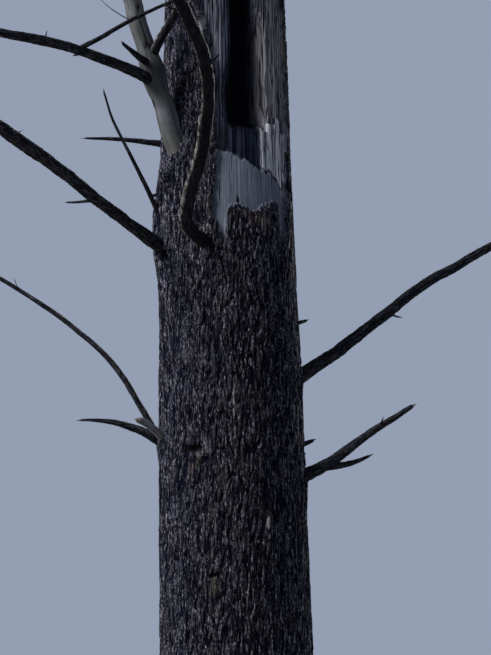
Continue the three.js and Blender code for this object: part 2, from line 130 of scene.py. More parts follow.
# Limbs: name, [height, bearing] on the trunk and inset, or another limb, share of it and inset;
# length; headings; climbs; radii; collar; wood; how it ends; mass [stem length, reach, seed]
bark, grey = "bough_bark", "grey_wood"
limbRows = [
    ("great_limb", (4.56, 214), 0.148, 4.35, [224, 222, 224, 224, 226, 230],
     [66, 67, 69, 74, 80, 83], [0.070, 0.057, 0.048, 0.044, 0.040, 0.035, 0.029], 0, grey,
     "cut", (1.5, 0.43, 11)),
    ("high_left_bough", ("great_limb", 0.155), 0.01, 1.33, [226, 226, 227, 228, 230],
     [4, 0, -7, -13, -11], [0.031, 0.027, 0.026, 0.020], 0.008, bark, "cut", (0.95, 0.33, 21)),
    ("high_left_fork", ("high_left_bough", 0.44), 0, 0.9, [21, 21, 19, 18], [36, 39, 32, 23],
     [0.013, 0.011, 0.006], 0.003, bark, "broken", None),
    ("crotch_arm", ("great_limb", 0.185), 0.01, 0.76, [301, 305, 306, 303], [36, 32, 30, 31],
     [0.026, 0.021, 0.017], 0.004, bark, "broken", None),
    ("crotch_stub", ("great_limb", 0.178), 0.01, 0.4, [247, 248, 252], [-4, -6, 1],
     [0.020, 0.016, 0.007], 0.004, bark, "broken", None),
    ("great_limb_rear_bough", ("great_limb", 0.5), 0.01, 1.05, [160, 150, 145], [35, 22, 30],
     [0.024, 0.019, 0.014], 0.007, grey, "cut", (0.9, 0.33, 12)),
    ("great_limb_front_bough", ("great_limb", 0.68), 0.01, 0.85, [292, 300, 305], [38, 25, 35],
     [0.020, 0.016, 0.012], 0.006, grey, "cut", (0.8, 0.3, 13)),
    ("upper_left_stub", (4.915, 182), 0.06, 0.56, [198, 198], [2, -2, -8],
     [0.019, 0.013, 0.005], 0.008, bark, "broken", None),
    ("slender_left_branch", (4.31, 190), 0.06, 0.95, [248, 226, 226, 246], [61, 50, 51, 60],
     [0.017, 0.011, 0.005], 0.005, bark, "broken", None),
    ("mid_left_bough", (4.232, 193), 0.06, 2.0, [241, 242, 244, 246, 247, 248],
     [7, 6, 7, 3, 0, 2], [0.038, 0.032, 0.033, 0.029], 0.01, bark, "cut", (1.25, 0.38, 22)),
    ("low_left_bough", (3.075, 168), 0.04, 1.74, [180, 180, 180], [57, 62, 46, 36, 31, 29],
     [0.019, 0.015, 0.011], 0.008, bark, "cut", (0.8, 0.25, 23)),
    ("low_left_stub", (3.09, 187), 0.06, 0.57, [193, 192, 192], [30, 24, 6, -10],
     [0.026, 0.019, 0.004], 0.014, bark, "broken", None),
    ("low_left_snag", (3.085, 190), 0.05, 0.32, [240, 228, 222], [37, 24, 9],
     [0.024, 0.021, 0.017], 0.005, grey, "broken", None),
    ("front_bough", (4.195, 253), 0.08, 2.33,
     [245, 245, 279, 288, 281, 276, 265, 253, 254, 258, 262],
     [-3, 5, 22, 30, 33, 26, 22, 15, 14, 14, 18], [0.043, 0.033, 0.027], 0.006, bark, "cut",
     (1.15, 0.33, 24)),
    ("mid_right_bough", (3.48, 8), 0.06, 2.15, [16, 16, 16, 16, 14, 14, 13, 12],
     [33, 37, 40, 39, 31, 32, 34, 34], [0.040, 0.034, 0.030, 0.024, 0.019], 0.011, bark, "cut",
     (1.15, 0.36, 25)),
    ("low_right_bough", (2.892, 346), 0.06, 0.825, [339, 338, 336, 337, 336],
     [23, 23, 33, 32, 25, 30], [0.039, 0.024, 0.011], 0.01, bark, "broken", None),
    ("low_right_fork", ("low_right_bough", 0.22), 0.005, 0.3, [350, 350], [-3, 14, 26],
     [0.021, 0.016, 0.005], 0.002, bark, "broken", None),
    ("rear_low_bough", (3.4, 96), 0.06, 1.5, [94, 89, 91], [14, 6, 12],
     [0.034, 0.027, 0.020], 0.009, bark, "cut", (1.05, 0.33, 26)),
    ("rear_high_bough", (4.7, 84), 0.06, 1.45, [85, 92, 88], [10, 5, -2],
     [0.036, 0.029, 0.021], 0.009, bark, "cut", (1.1, 0.33, 27)),
]
whorls = [
    # height, bearings, length, how many of them keep their twigs
    (6.35, [345, 286, 178], 1.7, 2), (7.35, [62, 318, 118], 1.65, 2),
    (8.35, [8, 172, 268], 1.5, 2), (9.35, [140, 330, 48], 1.3, 2),
    (10.3, [205, 95, 292], 1.05, 2), (11.15, [15, 248, 130], 0.8, 1),
]
whorlBough = {"seed": 1907, "inset": 0.05, "vary": 0.12, "swing": 34, "jitter": 0.26,
              "rise": (-2, 20), "risePerWhorl": 3, "climbs": (8, -6, -3, 12), "girth": 0.0215,
              "middle": 0.82, "tip": 0.55, "collar": 0.28, "stubLength": 0.36, "stubGirth": 0.8,
              "barkWhorls": 3, "massLength": 0.72, "massReach": 0.2, "massSeed": 40}
lineSteps = 48
collarReach = 0.09


def along(pairs, t):
    return np.interp(t, *zip(*pairs))


def smooth(t, low, high):
    s = np.clip((t - low) / (high - low), 0, 1)
    return s * s * (3 - 2 * s)


def mix(a, b, t):
    return a + (b - a) * t


def bump(t):
    return np.exp(-t * t)


def signedTurn(degrees):
    return (degrees + 180) % 360 - 180


def spread(values, s):
    t = min(max(s, 0), 1) * (len(values) - 1)
    i = min(len(values) - 2, int(t))
    return mix(values[i], values[i + 1], t - i)


def seeded(seed):
    full = 0xFFFFFFFF
    state = seed & full

    def roll():
        nonlocal state
        state = (state + 0x6D2B79F5) & full
        t = ((state ^ state >> 15) * (1 | state)) & full
        t = ((t + (((t ^ t >> 7) * (61 | t)) & full)) & full) ^ t
        return (t ^ t >> 14) / 4294967296
    return roll


# The trunk's plain surface, as in the solids

def axisX(z):
    return -lean["start"] * z + lean["easing"] * z * z


def trunkPlace(bearing, z, radius):
    a = np.radians(bearing)
    return np.stack([axisX(z) + radius * np.cos(a), radius * np.sin(a), z], axis=-1)


def woundMasks(phi, z, edgeRough=0):
    # how far a point is inside the wound, over its pale shield, over its slats and in its hollow;
    # the edges may be moved by a rough amount at each point
    e, rise = wound["edge"] / 2, wound["rise"]
    inside = (smooth(phi - along(woundLeft, z) - edgeRough, -e, e)
              * smooth(along(woundRight, z) + edgeRough - phi, -e, e)
              * smooth(z, wound["foot"], wound["foot"] + rise)
              * (1 - smooth(z, wound["top"] - wound["roofRise"], wound["top"])))
    overShield = smooth(z - along(shieldTop, phi), -rise, rise)
    slatty = smooth(phi, slats["from"], slats["to"])
    overSlats = 1 - slatty * (1 - smooth(z, slats["top"] - rise, slats["top"] + rise))
    across = np.clip(1 - np.abs(phi - hollow["middle"]) / hollow["half"], 0, 1)
    opened = (smooth(across, 0, hollow["rim"]) * smooth(z, hollow["foot"], hollow["full"])
              * (1 - smooth(z, hollow["fade"], hollow["top"])))
    return inside, overShield, overSlats, opened


def plainRadius(bearing, z):
    # radius outside the wound
    a = np.radians(bearing)
    rib = (ribs["share"] * np.cos(ribs["count"] * a + ribs["turn"])
           + (1 - ribs["share"]) * np.cos(ribs["fewer"] * a + ribs["fewerTurn"]))
    foot = flare["reach"] * np.exp(-z / flare["height"]) * (1 + flare["ribShare"] * rib)
    flutes = flare["fluting"] * np.exp(-z / flare["fade"]) * rib
    w = whorlSwell
    swell = (w["reach"] * bump(signedTurn(bearing - w["bearing"]) / w["width"])
             * bump((z - w["height"]) / w["rise"]))
    out = (uneven["oval"] * np.cos(2 * a + z / uneven["ovalPitch"])
           + uneven["threeSided"] * np.cos(3 * a - z / uneven["threePitch"]))
    return along(trunkRadii, z) + foot + flutes + swell + out


def trunkRadius(bearing, z):
    inside, overShield, overSlats, opened = woundMasks(signedTurn(bearing - front), z)
    step = wound["step"] * np.minimum(overShield, overSlats)
    return plainRadius(bearing, z) - inside * (wound["bark"] + step + hollow["depth"] * opened)


def rimHeight(bearing):
    t = brokenTop
    a = np.radians(bearing - t["shardBearing"])
    second = np.cos(a + math.radians(t["secondTurn"]))
    shard = np.maximum(0, np.cos(a)) ** 3 + t["secondShard"] * np.maximum(0, second) ** 6
    saw = np.abs(2 * ((bearing / 360 * t["teeth"]) % 1) - 1)
    sway = t["toothSway"] * np.sin(np.radians(bearing * t["swayPitch"]))
    return t["rim"] + t["shard"] * shard + t["tooth"] * (saw - t["toothBase"] + sway)


# Limb lines, as in the solids

def course(heading, climb):
    h, c = math.radians(heading), math.radians(climb)
    return np.array([math.cos(c) * math.cos(h), math.cos(c) * math.sin(h), math.sin(c)])


def growWhorlRows():
    w = whorlBough
    roll = seeded(w["seed"])
    rows = []
    for n, (height, bearings, length, twiggyCount) in enumerate(whorls):
        for k, bearing in enumerate(bearings):
            twiggy = k < twiggyCount
            number = n * len(bearings) + k + 1
            vary = mix(1 - w["vary"], 1 + w["vary"], roll())
            foot = length * w["girth"] * (1 if twiggy else w["stubGirth"])
            swing = (roll() - 0.5) * w["swing"]
            rise = mix(*w["rise"], roll()) + n * w["risePerWhorl"]
            at = height + (roll() - 0.5) * w["jitter"]
            mass = (length * w["massLength"], length * w["massReach"], w["massSeed"] + number)
            rows.append((
                f"whorl_{'bough' if twiggy else 'stub'}_{number}", (at, bearing), w["inset"],
                length * vary * (1 if twiggy else w["stubLength"]) + w["inset"],
                [bearing - swing / 2, bearing + swing / 2, bearing + swing],
                [rise + c for c in w["climbs"]], [foot, foot * w["middle"], foot * w["tip"]],
                foot * w["collar"], bark if n < w["barkWhorls"] else grey,
                "cut" if twiggy else "broken", mass if twiggy else None))
    return rows


def placeLimbs():
    limbs = {}
    for row in limbRows + growWhorlRows():
        name, start, inset, length, headings, climbs, radii, collar, wood, end, mass = row
        carrier = start[0] if isinstance(start[0], str) else "trunk"
        if carrier == "trunk":
            z, bearing = start
            p = trunkPlace(bearing, z, trunkRadius(bearing, z) - inset)
        else:
            p = spread(limbs[carrier]["line"], start[1]) + inset * course(headings[0], climbs[0])
        points = [p]
        for i in range(lineSteps):
            s = (i + 0.5) / lineSteps
            way = course(spread(headings, s), spread(climbs, s))
            points.append(points[-1] + way * length / lineSteps)
        limbs[name] = {"name": name, "on": carrier, "inset": inset, "length": length,
                       "line": np.array(points), "radii": radii, "collar": collar, "wood": wood,
                       "broken": end == "broken", "mass": mass}
    return limbs


def limbRadius(limb, s):
    swell = limb["collar"] * math.exp(-s * limb["length"] / collarReach)
    return spread(limb["radii"], s) + swell


limbs = placeLimbs()
print("limb lines:", len(limbs))


# Noise on a sheet that closes round a trunk or limb: u counts cells round it, v up it

def cellRoll(i, j, seed):
    full = 0xFFFFFFFF
    n = (i.astype(np.int64) * 374761393 + j.astype(np.int64) * 668265263 + seed * 974634777) & full
    n = ((n ^ (n >> 13)) * 1274126177) & full
    n = ((n ^ (n >> 16)) * 2246822519) & full
    return ((n ^ (n >> 15)) & 0xFFFFFF) / 16777216


def noise(u, v, around, seed):
    iu, iv = np.floor(u), np.floor(v)
    fu, fv = u - iu, v - iv
    fu, fv = fu * fu * (3 - 2 * fu), fv * fv * (3 - 2 * fv)
    a, b = iu % around, (iu + 1) % around
    low = mix(cellRoll(a, iv, seed), cellRoll(b, iv, seed), fu)
    high = mix(cellRoll(a, iv + 1, seed), cellRoll(b, iv + 1, seed), fu)
    return mix(low, high, fv)


def waves(turns, z, around, length, seed):
    # the same by turns and metres: so many cells round, each of that length
    return noise(turns * around, z / length, around, seed)


def plates(u, v, around, seed, jitter=0.8):
    # distance from a plate's edge to its middle, and a random number for each plate
    iu, iv = np.floor(u), np.floor(v)
    first = np.full(u.shape, 9.0)
    second = np.full(u.shape, 9.0)
    own = np.zeros(u.shape)
    for du in (-1, 0, 1):
        for dv in (-1, 0, 1):
            cu, cv = iu + du, iv + dv
            w = cu % around
            x = cu + 0.5 + jitter * (cellRoll(w, cv, seed) - 0.5) - u
            y = cv + 0.5 + jitter * (cellRoll(w, cv, seed + 7) - 0.5) - v
            d = np.sqrt(x * x + y * y)
            second = np.minimum(second, np.maximum(first, d))
            own = np.where(d < first, cellRoll(w, cv, seed + 13), own)
            first = np.minimum(first, d)
    return second - first, own


# Bark and wound relief of the trunk: long winding furrows, between them ridges broken into rough
# plates, and crumbs on those. A wave is its cells round the trunk, the length of one, and its seed.
barkForm = {
    # count round the trunk, length, sway, half width of the furrow, its depth
    "furrows": [(60, 0.55, 0.9, 0.13, 1.0), (104, 0.28, 1.2, 0.12, 0.7)],
    "kinkLength": 0.25, "probe": 0.1, "leastSlope": 0.35,
    "plateRound": 110, "plateLength": 0.2, "plateSway": 0.8, "plateLift": 0.25, "gap": 0.25,
    "uneven": 0.3, "ridge": 0.0085, "furrow": 0.0105, "crumb": 0.0032, "crumbRaise": 0.35,
    "wander": 2.4, "quickWander": 0.6, "wanderRound": 82,
    "wanderWaves": [(7, 0.8, 5), (20, 0.21, 3)], "kinkWaves": [(120, 0.045, 41), (40, 0.11, 43)],
    "crumbWaves": [(240, 0.03, 61), (480, 0.012, 63)], "slowWave": (60, 0.11, 67),
}
woundForm = {
    "grain": 0.0028, "shieldGrain": 0.35, "openGrain": 1.6, "grainShares": (0.65, 0.35),
    "grainWaves": [(250, 0.7, 81), (620, 0.35, 83)],
    "splitRound": 112, "splitSway": 0.5, "splitWidth": 0.17, "split": 0.012,
    "unevenSplits": 0.012, "splitSwayWave": (40, 0.45, 85), "splitLength": 0.6,
    "slatRagged": 0.13, "slatCalm": 0.8, "shieldRise": 0.014, "sharp": 0.012,
    "wobble": 13, "wobbleWave": (34, 0.34, 75), "roughWaves": [(300, 0.05, 71), (110, 0.16, 73)],
    "edgeRough": 2.2, "splinter": 0.02, "splinterWave": (190, 1, 77), "hollowWave": (60, 0.9, 91),
    "rimSwell": 0.012, "rimWidths": (3, 2.5), "rimFrom": (4.5, 4.8), "rimTo": (7.2, 7.5),
    "callus": 0.021, "callusRound": 74, "callusLength": 0.042, "debrisEnd": (49, 51),
    "pocket": (54.5, 4.2), "shadeBelow": 0.05, "seamShade": 0.013, "seamLift": 0.018,
    "holeDepth": 0.02, "brown": (34, 48), "left": (-6, 1),
}
debrisTop = [(-3.5, 4.27), (0.6, 4.405), (9.8, 4.419), (18, 4.393), (23, 4.367), (32, 4.424),
             (45, 4.475), (52, 4.465), (56.5, 4.358), (60, 4.30)]
knots = [
    # angle from the front, height, half width, half height, how far it stands out
    (-31, 3.03, 0.085, 0.036, 0.014), (-14.2, 2.345, 0.06, 0.030, 0.012),
    (-17, 4.263, 0.03, 0.028, 0.018), (25.5, 2.71, 0.04, 0.035, 0.008),
    (150, 3.9, 0.07, 0.04, 0.016), (-140, 2.5, 0.08, 0.035, 0.014), (20, 1.5, 0.07, 0.04, 0.014),
    (-75, 1.15, 0.06, 0.05, 0.015), (120, 1.9, 0.06, 0.035, 0.013), (-30, 8.9, 0.04, 0.03, 0.012),
]
collars = [(-53, 4.66, 9, 0.075, 0.05)]      # bark over a limb's foot: the same, width in degrees
woundHoles = [
    # angle, height, half width, half height
    (31, 5.30, 0.008, 0.014), (38, 5.172, 0.009, 0.014), (9.9, 4.443, 0.006, 0.02),
]
knotArm, holeArm, collarArm = 0.39, 0.37, 0.38       # radius that turns an angle into metres
spots = {
    # coloured places: angle, height, half width in degrees, half height
    "pale": [(2.1, 3.18, 0.6, 0.17), (26.5, 2.615, 1.5, 0.06), (-22.5, 5.53, 2.8, 0.08),
             (-17.0, 4.275, 3.2, 0.022), (60, 3.2, 0.9, 0.12)],
    "moss": [(73, 5.43, 2.6, 0.10), (-14, 2.285, 6.5, 0.05), (-27, 2.96, 4.0, 0.05),
             (64, 5.25, 1.2, 0.18), (28, 4.33, 9, 0.03)],
    "red": [(26, 2.68, 4.5, 0.07), (-33, 2.93, 4.0, 0.05), (20, 4.34, 15, 0.05),
            (34, 4.30, 12, 0.05)],
}


def ringRound(phi, z, angle, high, wide, tall, arm=None):
    # how far a point is from the middle of an oval place, whose edge is 1
    off = signedTurn(phi - angle)
    return np.hypot((np.radians(off) * arm if arm else off) / wide, (z - high) / tall)


def barkRelief(turns, z):
    # turns is 0 to 1 round the trunk; returns height, how raised, and a slow random number
    b = barkForm
    wide, quick = (waves(turns, z, *wave) - 0.5 for wave in b["wanderWaves"])
    wander = b["wander"] * wide
    wander = wander + b["quickWander"] * b["wander"] * quick
    deep = np.zeros(z.shape)
    for k, (count, length, sway, width, depth) in enumerate(b["furrows"]):
        kinks = waves(turns, z, count, b["kinkLength"] * length, 11 + k) - 0.5
        u = turns * count + wander * count / b["wanderRound"] + sway * kinks
        level, after, before = (noise(u + step, z / length, count, 21 + k)
                                for step in (0, b["probe"], -b["probe"]))
        slope = (after - before) / (2 * b["probe"])
        off = np.abs(level - 0.5) / np.maximum(np.abs(slope), b["leastSlope"])
        deep = np.maximum(deep, depth * (1 - smooth(off, 0, width)))
    around = b["plateRound"]
    kinks = waves(turns, z, *b["kinkWaves"][0]) + waves(turns, z, *b["kinkWaves"][1]) - 1
    u = turns * around + wander * around / b["wanderRound"] + b["plateSway"] * kinks
    edge, own = plates(u, z / b["plateLength"] + b["plateLift"] * kinks, around, 55, 1.0)
    plate = smooth(edge, 0, b["gap"]) * mix(1 - b["uneven"], 1, own)
    crumbs, fine = (waves(turns, z, *wave) - 0.5 for wave in b["crumbWaves"])
    crumbs = crumbs + 0.5 * fine
    raised = np.clip(plate * (1 - deep) + b["crumbRaise"] * crumbs, 0, 1)
    height = mix(-b["furrow"], b["ridge"], plate * (1 - deep)) + b["crumb"] * crumbs
    return height, raised, waves(turns, z, *b["slowWave"])


def splitsOf(turns, z):
    # bare wood split into upright strips: how much a point is in a split, and its strip's number
    w = woundForm
    around = w["splitRound"]
    u = turns * around + w["splitSway"] * (waves(turns, z, *w["splitSwayWave"]) - 0.5)
    strip = np.floor(u)
    within = np.minimum(u - strip, strip + 1 - u)
    split = 1 - smooth(within, 0, w["splitWidth"])
    split = split * smooth(noise(u, z / w["splitLength"], around, 86), 0.25, 0.5)
    return split, cellRoll(strip % around, 0 * strip, 89)


def knotRelief(phi, z, rough):
    rise, mask = np.zeros(z.shape), np.zeros(z.shape)
    for *place, out in knots:
        ring = ringRound(phi, z, *place, knotArm) + 0.35 * rough
        rise += out * bump(ring / 1.2) - 2.8 * out * bump(ring / 0.5)
        mask = np.maximum(mask, bump(ring / 0.8))
    return rise, mask


def limbSwell(bearing, z):
    rise, mask = np.zeros(z.shape), np.zeros(z.shape)
    for *place, out in collars:
        rise += out * bump(ringRound(bearing - front, z, *place))
    for limb in limbs.values():
        if limb["on"] == "trunk":
            x, y, high = spread(limb["line"], limb["inset"] / limb["length"])
            b = math.degrees(math.atan2(y, x - axisX(high)))
            r = limbRadius(limb, 0)
            d = np.hypot(np.radians(signedTurn(bearing - b)) * collarArm, z - high + 0.2 * r)
            rise += 0.30 * r * bump(d / (1.75 * r))
            mask = np.maximum(mask, 0.45 * bump(d / (1.7 * r)))
    return rise, mask


def spotMasks(phi, z, turns):
    rough = waves(turns, z, 190, 0.03, 101) + 0.6 * waves(turns, z, 400, 0.014, 103) - 0.8
    masks = []
    for kind in ("pale", "moss", "red"):
        mask = np.zeros(z.shape)
        for place in spots[kind]:
            ring = ringRound(phi, z, *place)
            mask = np.maximum(mask, 1 - smooth(ring + 1.1 * rough, 0.45, 1.05))
        masks.append(mask)
    return np.stack(masks, axis=-1)


def trunkSkin(bearing, z):
    # the trunk's dressed radius and what its colours read, at each bearing and height
    w = woundForm
    phi = signedTurn(bearing - front)
    turns = (bearing % 360) / 360
    sharp = w["sharp"]
    rough = waves(turns, z, *w["roughWaves"][0]) - 0.5
    rough += 1.2 * (waves(turns, z, *w["roughWaves"][1]) - 0.5)
    wobble = w["wobble"] * (waves(turns, z, *w["wobbleWave"]) - 0.5)
    splinters = w["splinter"] * (waves(turns, 0 * z, *w["splinterWave"]) - 0.5)
    inside = woundMasks(phi, z, w["edgeRough"] * rough)[0]
    opened = woundMasks(phi + wobble, z)[3]
    shade = woundMasks(phi + wobble, z + w["shadeBelow"])[3]
    split, strip = splitsOf(turns, z)
    raggedTop = slats["top"] + w["slatRagged"] * (strip - 0.5)
    slatty = smooth(phi + rough, slats["from"] + 0.6, slats["from"] + 2)
    slatty = slatty * (1 - smooth(z, raggedTop - sharp, raggedTop + sharp))
    overEdge = z - along(shieldTop, phi)
    above = smooth(overEdge - splinters, -w["shieldRise"], w["shieldRise"])
    opened, shade = opened * (1 - slatty), shade * (1 - slatty)
    below = above * (1 - slatty)
    torn = above * (1 - opened)
    top = along(debrisTop, phi) + 0.02 * rough
    debris = smooth(phi, -3, 1) * (1 - smooth(phi + 3 * rough, *w["debrisEnd"]))
    debris = debris * (1 - smooth(z, top - sharp, top + sharp))
    middle, half = w["pocket"]
    pocket = np.clip(1.6 * bump((phi - middle + 2 * rough) / half), 0, 1)
    pocket = pocket * smooth(z + 0.03 * rough, 4.28, 4.33) * (1 - smooth(z, 4.46, 4.5))
    inside = np.maximum(inside, pocket)

    long, short = (waves(turns, z, *wave) for wave in w["grainWaves"])
    grain = w["grainShares"][0] * long + w["grainShares"][1] * short - 0.5
    depth = wound["bark"] + wound["step"] * below
    depth += hollow["depth"] * opened * (0.82 + 0.3 * waves(turns, z, *w["hollowWave"]))
    depth -= w["grain"] * grain * mix(w["shieldGrain"], w["openGrain"], above)
    splitDepth = w["split"] * split - w["unevenSplits"] * (strip - 0.5)
    depth += torn * (1 - w["slatCalm"] * slatty) * splitDepth
    around = w["callusRound"]
    lumps, lump = plates(turns * around, z / w["callusLength"], around, 95, 1.0)
    heap = 0.5 * wound["bark"] + w["callus"] * (0.3 + lump) * smooth(lumps, 0, 0.4)
    heap = debris * heap
    rim = bump((phi - along(woundRight, z)) / w["rimWidths"][0])
    rim = rim + bump((phi - along(woundLeft, z)) / w["rimWidths"][1])
    rim = rim * smooth(z, *w["rimFrom"]) * (1 - smooth(z, *w["rimTo"])) * w["rimSwell"]

    height, raised, slow = barkRelief(turns, z)
    knotRise, knotMask = knotRelief(phi, z, rough)
    swell, swellMask = limbSwell(bearing, z)
    onBark = height * (1 - 0.6 * knotMask) + rim + swell
    radius = (plainRadius(bearing, z) + (1 - inside) * onBark - inside * depth + inside * heap
              + knotRise)
    left = 1 - smooth(phi, *w["left"])
    brown = smooth(phi + wobble / 3, *w["brown"])
    # painted shade for the dark mark: the hollow, a little below its rim, and the splits in torn
    # wood
    shaded = shade * (1.2 - 0.5 * smooth(phi, 22, 36)) + 0.85 * split * torn * (1 - slatty)
    # painted shade: the slat colour is halved on the sloped face where the slats begin
    paintedSlopeShade = mix(0.5, 1, smooth(phi, slats["from"], slats["to"]))
    dark = inside * np.clip(shaded, 0, 1)
    # painted shadow: a dark line along the shield's top edge under the slats
    seamShade = bump((overEdge - w["seamLift"] + 0.02 * rough) / w["seamShade"]) * smooth(phi, 26, 38)
    dark = np.maximum(dark, 0.8 * seamShade * inside)
    for place in woundHoles:
        ring = ringRound(phi, z, *place, holeArm)
        radius -= w["holeDepth"] * bump(ring)
        # painted shade in the small holes
        dark = np.maximum(dark, bump(ring / 1.1))
    return radius, {
        "ridge": raised, "slow": slow, "wood": inside * (1 - debris), "dark": dark,
        "shield": 1 - above, "slat": slatty * above * (0.8 + 0.2 * strip) * paintedSlopeShade,
        "strip": np.stack([below * left * (0.7 + 0.5 * strip),
                           below * brown * (0.6 + 0.5 * strip), 0 * z], axis=-1),
        "knot": np.maximum(knotMask, swellMask), "spot": spotMasks(phi, z, turns), "across": phi,
    }


# Meshes: grids rolled into tubes, with their vertices moved and their ends closed

def rolledGrid(bm, columns, rows):
    # the last column is welded to the first; returns the vertices by row and column
    made = bmesh.ops.create_grid(bm, x_segments=columns, y_segments=rows, size=1.0)["verts"]
    co = np.array([vert.co for vert in made])
    u, v = (np.rint((co[:, axis] + 1) / 2 * count).astype(int)
            for axis, count in enumerate((columns, rows)))
    verts = np.empty((rows + 1, columns + 1), dtype=object)
    for vert, row, column in zip(made, v, u):
        verts[row, column] = vert
    bmesh.ops.weld_verts(bm, targetmap=dict(zip(verts[:, columns], verts[:, 0])))
    return verts[:, :columns]


def finishTube(name, bm, material, verts, points, marks, smoothCaps):
    # closed pieces have a sure outside; a flat cap leaves the shading of the wall beside it alone
    for vert, p in zip(verts, points):
        vert.co = p
    for face in bm.faces:
        face.smooth = True
    caps = bmesh.ops.holes_fill(bm, edges=[e for e in bm.edges if e.is_boundary], sides=0)["faces"]
    for cap in caps:
        cap.smooth = smoothCaps
    bmesh.ops.recalc_face_normals(bm, faces=bm.faces)
    return finishMesh(name, bm, material, verts, marks)


def finishMesh(name, bm, material, verts=(), marks=None):
    # the marks' values follow verts, whose order may differ from the mesh's own
    bm.verts.index_update()
    order = [vert.index for vert in verts]
    mesh = bpy.data.meshes.new(name)
    bm.to_mesh(mesh)
    bm.free()
    for key, values in (marks or {}).items():
        inOrder = np.empty(values.shape, dtype=np.float32)
        inOrder[order] = values
        kind, field = ("FLOAT", "value") if values.ndim == 1 else ("FLOAT_VECTOR", "vector")
        layer = mesh.attributes.new(key, kind, "POINT")
        layer.data.foreach_set(field, inOrder.ravel())
    mesh.materials.append(material)
    mesh.update()
    return addObject(name, mesh)


def joinTubes(name, tubes, material):
    # one mesh from tubes of rows x sides: those with as many sides are one long rolled grid that
    # is cut between them
    bm = bmesh.new()
    verts, places, marks = [], [], {}
    for sides in sorted({points.shape[1] for points, _ in tubes}):
        group = [tube for tube in tubes if tube[0].shape[1] == sides]
        ends = np.cumsum([len(points) for points, _ in group])
        grid = rolledGrid(bm, sides, int(ends[-1]) - 1)
        pairs = [pair for end in ends[:-1] for pair in zip(grid[end - 1], grid[end])]
        bmesh.ops.delete(bm, geom=[bm.edges.get(pair) for pair in pairs], context="EDGES_FACES")
        verts.extend(grid.ravel())
        for points, own in group:
            places.append(points.reshape(-1, 3))
            for key, values in own.items():
                marks.setdefault(key, []).append(values.reshape(-1, *values.shape[2:]))
    marks = {key: np.concatenate(values) for key, values in marks.items()}
    return finishTube(name, bm, material, verts, np.concatenate(places), marks, True)


def dress(piece, node):
    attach(piece, "root")
    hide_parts(node)


trunkBuild = {
    "columns": 480, "draftColumns": 240, "rimRows": 36, "bowlRows": 24,
    # piece, from, to, height of a row
    "pieces": [("trunk_foot", 0.0, 2.0, 0.018), ("trunk_low", 2.0, 4.1, 0.0105),
               ("trunk_high", 4.1, 6.2, 0.0105), ("trunk_upper", 6.2, 9.0, 0.028),
               ("trunk_top", 9.0, 11.6, 0.028)],
    "ragged": 0.05, "easeDown": 0.8, "thinWall": 0.6, "strand": 0.02, "strandWave": (150, 0.5, 137),
    "tipReach": 0.16, "tipThin": 0.006, "tipWood": 0.8, "bowlShade": 0.8, "shadeFrom": (0.15, 0.6),
}


def buildTrunk(material):
    t = trunkBuild
    columns = t["columns"]
    for name, low, high, step in t["pieces"]:
        rows = outer = round((high - low) / (step * 1))
        last = name == "trunk_top"
        if last:
            rimRow = outer + t["rimRows"]
            rows = rimRow + t["bowlRows"]
        bm = bmesh.new()
        verts = rolledGrid(bm, columns, rows)
        v, u = (number.ravel() for number in np.indices(verts.shape))
        bearing = u * 360 / columns
        z = low + (high - low) * v / outer
        if last:
            rim = rimHeight(bearing) + t["ragged"] * (noise(u, 0 * z, columns, 131) - 0.5)
            rim = np.minimum(rim, cadBox[1][2])
            up = np.clip((v - outer) / (rimRow - outer), 0, 1)
            down = np.clip((v - rimRow) / (rows - rimRow), 0, 1)
            floor = brokenTop["rim"] - brokenTop["bowlDepth"]
            z = np.where(v > outer, mix(high, rim, up), z)
            z = np.where(v > rimRow, mix(rim, floor, down ** t["easeDown"]), z)
            wall = mix(t["thinWall"] * brokenTop["wall"], brokenTop["bowlWall"], down)
            inward = np.where(v > rimRow, wall, 0)
        radius, marks = trunkSkin(bearing, z)
        if last:
            strands = waves(bearing / 360, z, *t["strandWave"]) - 0.5
            inner = smooth(inward, 0, 0.02)
            bowl = plainRadius(bearing, z) - inward + t["strand"] * strands
            radius = mix(radius, bowl, inner)
            tip = smooth(z, rim - t["tipReach"], rim) * (v > outer)
            radius -= t["tipThin"] * tip
            bare = np.maximum(inner, t["tipWood"] * tip)
            marks["wood"] = np.maximum(marks["wood"], bare)
            shaded = inner * smooth(rim - z, *t["shadeFrom"]) * t["bowlShade"]
            marks["dark"] = np.maximum(marks["dark"], shaded)
            radius = np.where(v == rows, radius * 0.97, radius)
        points = trunkPlace(bearing, z, radius)
        piece = finishTube(name, bm, material, verts.ravel(), points, marks, False)
        dress(piece, "trunk")


# Limbs: a round tube along the limb's line, with flaking bark or bare grain, and broken spurs
limbForm = {
    "sides": 26, "thinSides": 18, "fatFrom": 0.025, "greatSides": 40, "row": 0.011, "leastRows": 5,
    "crook": 0.0035, "crookLength": 0.13, "crookRound": 16, "swell": 0.07,
    "flake": 0.0022, "flakeLength": 0.045, "flakeRound": 11, "grain": 0.0008, "grainRound": 44,
    "crack": 0.004, "crotch": 0.34, "crotchAt": 0.17, "crotchReach": 0.022, "tornReach": 0.045,
    # lichen and painted highlight on the lit side, and painted light whose low values paint shade,
    # at shares of a limb's length
    "lichen": {"front_bough": [(0, 0.3), (0.05, 1.0), (0.13, 1.5), (0.25, 1.3), (0.4, 0.9),
                               (1, 0.8)],
               "crotch_arm": [(0, 0.7)], "mid_left_bough": [(0, 0.2)], "plain": [(0, 0.35)]},
    "paintedLight": {"front_bough": [(0, 0.1), (0.06, 0.15), (0.2, 0.6), (0.4, 0.25), (1, 0.25)],
             "great_limb": [(0, 0.15), (0.036, 0.4), (0.06, 0.6), (0.13, 0.55), (0.17, 0.2),
                            (0.2, 0.45), (0.25, 0.9), (1, 1)],
             "crotch_arm": [(0, 0.6)], "plain": [(0, 1)]},
    "slim": {"front_bough": [(0, 0.86), (0.14, 0.86), (0.3, 1)], "plain": [(0, 1)]},
}
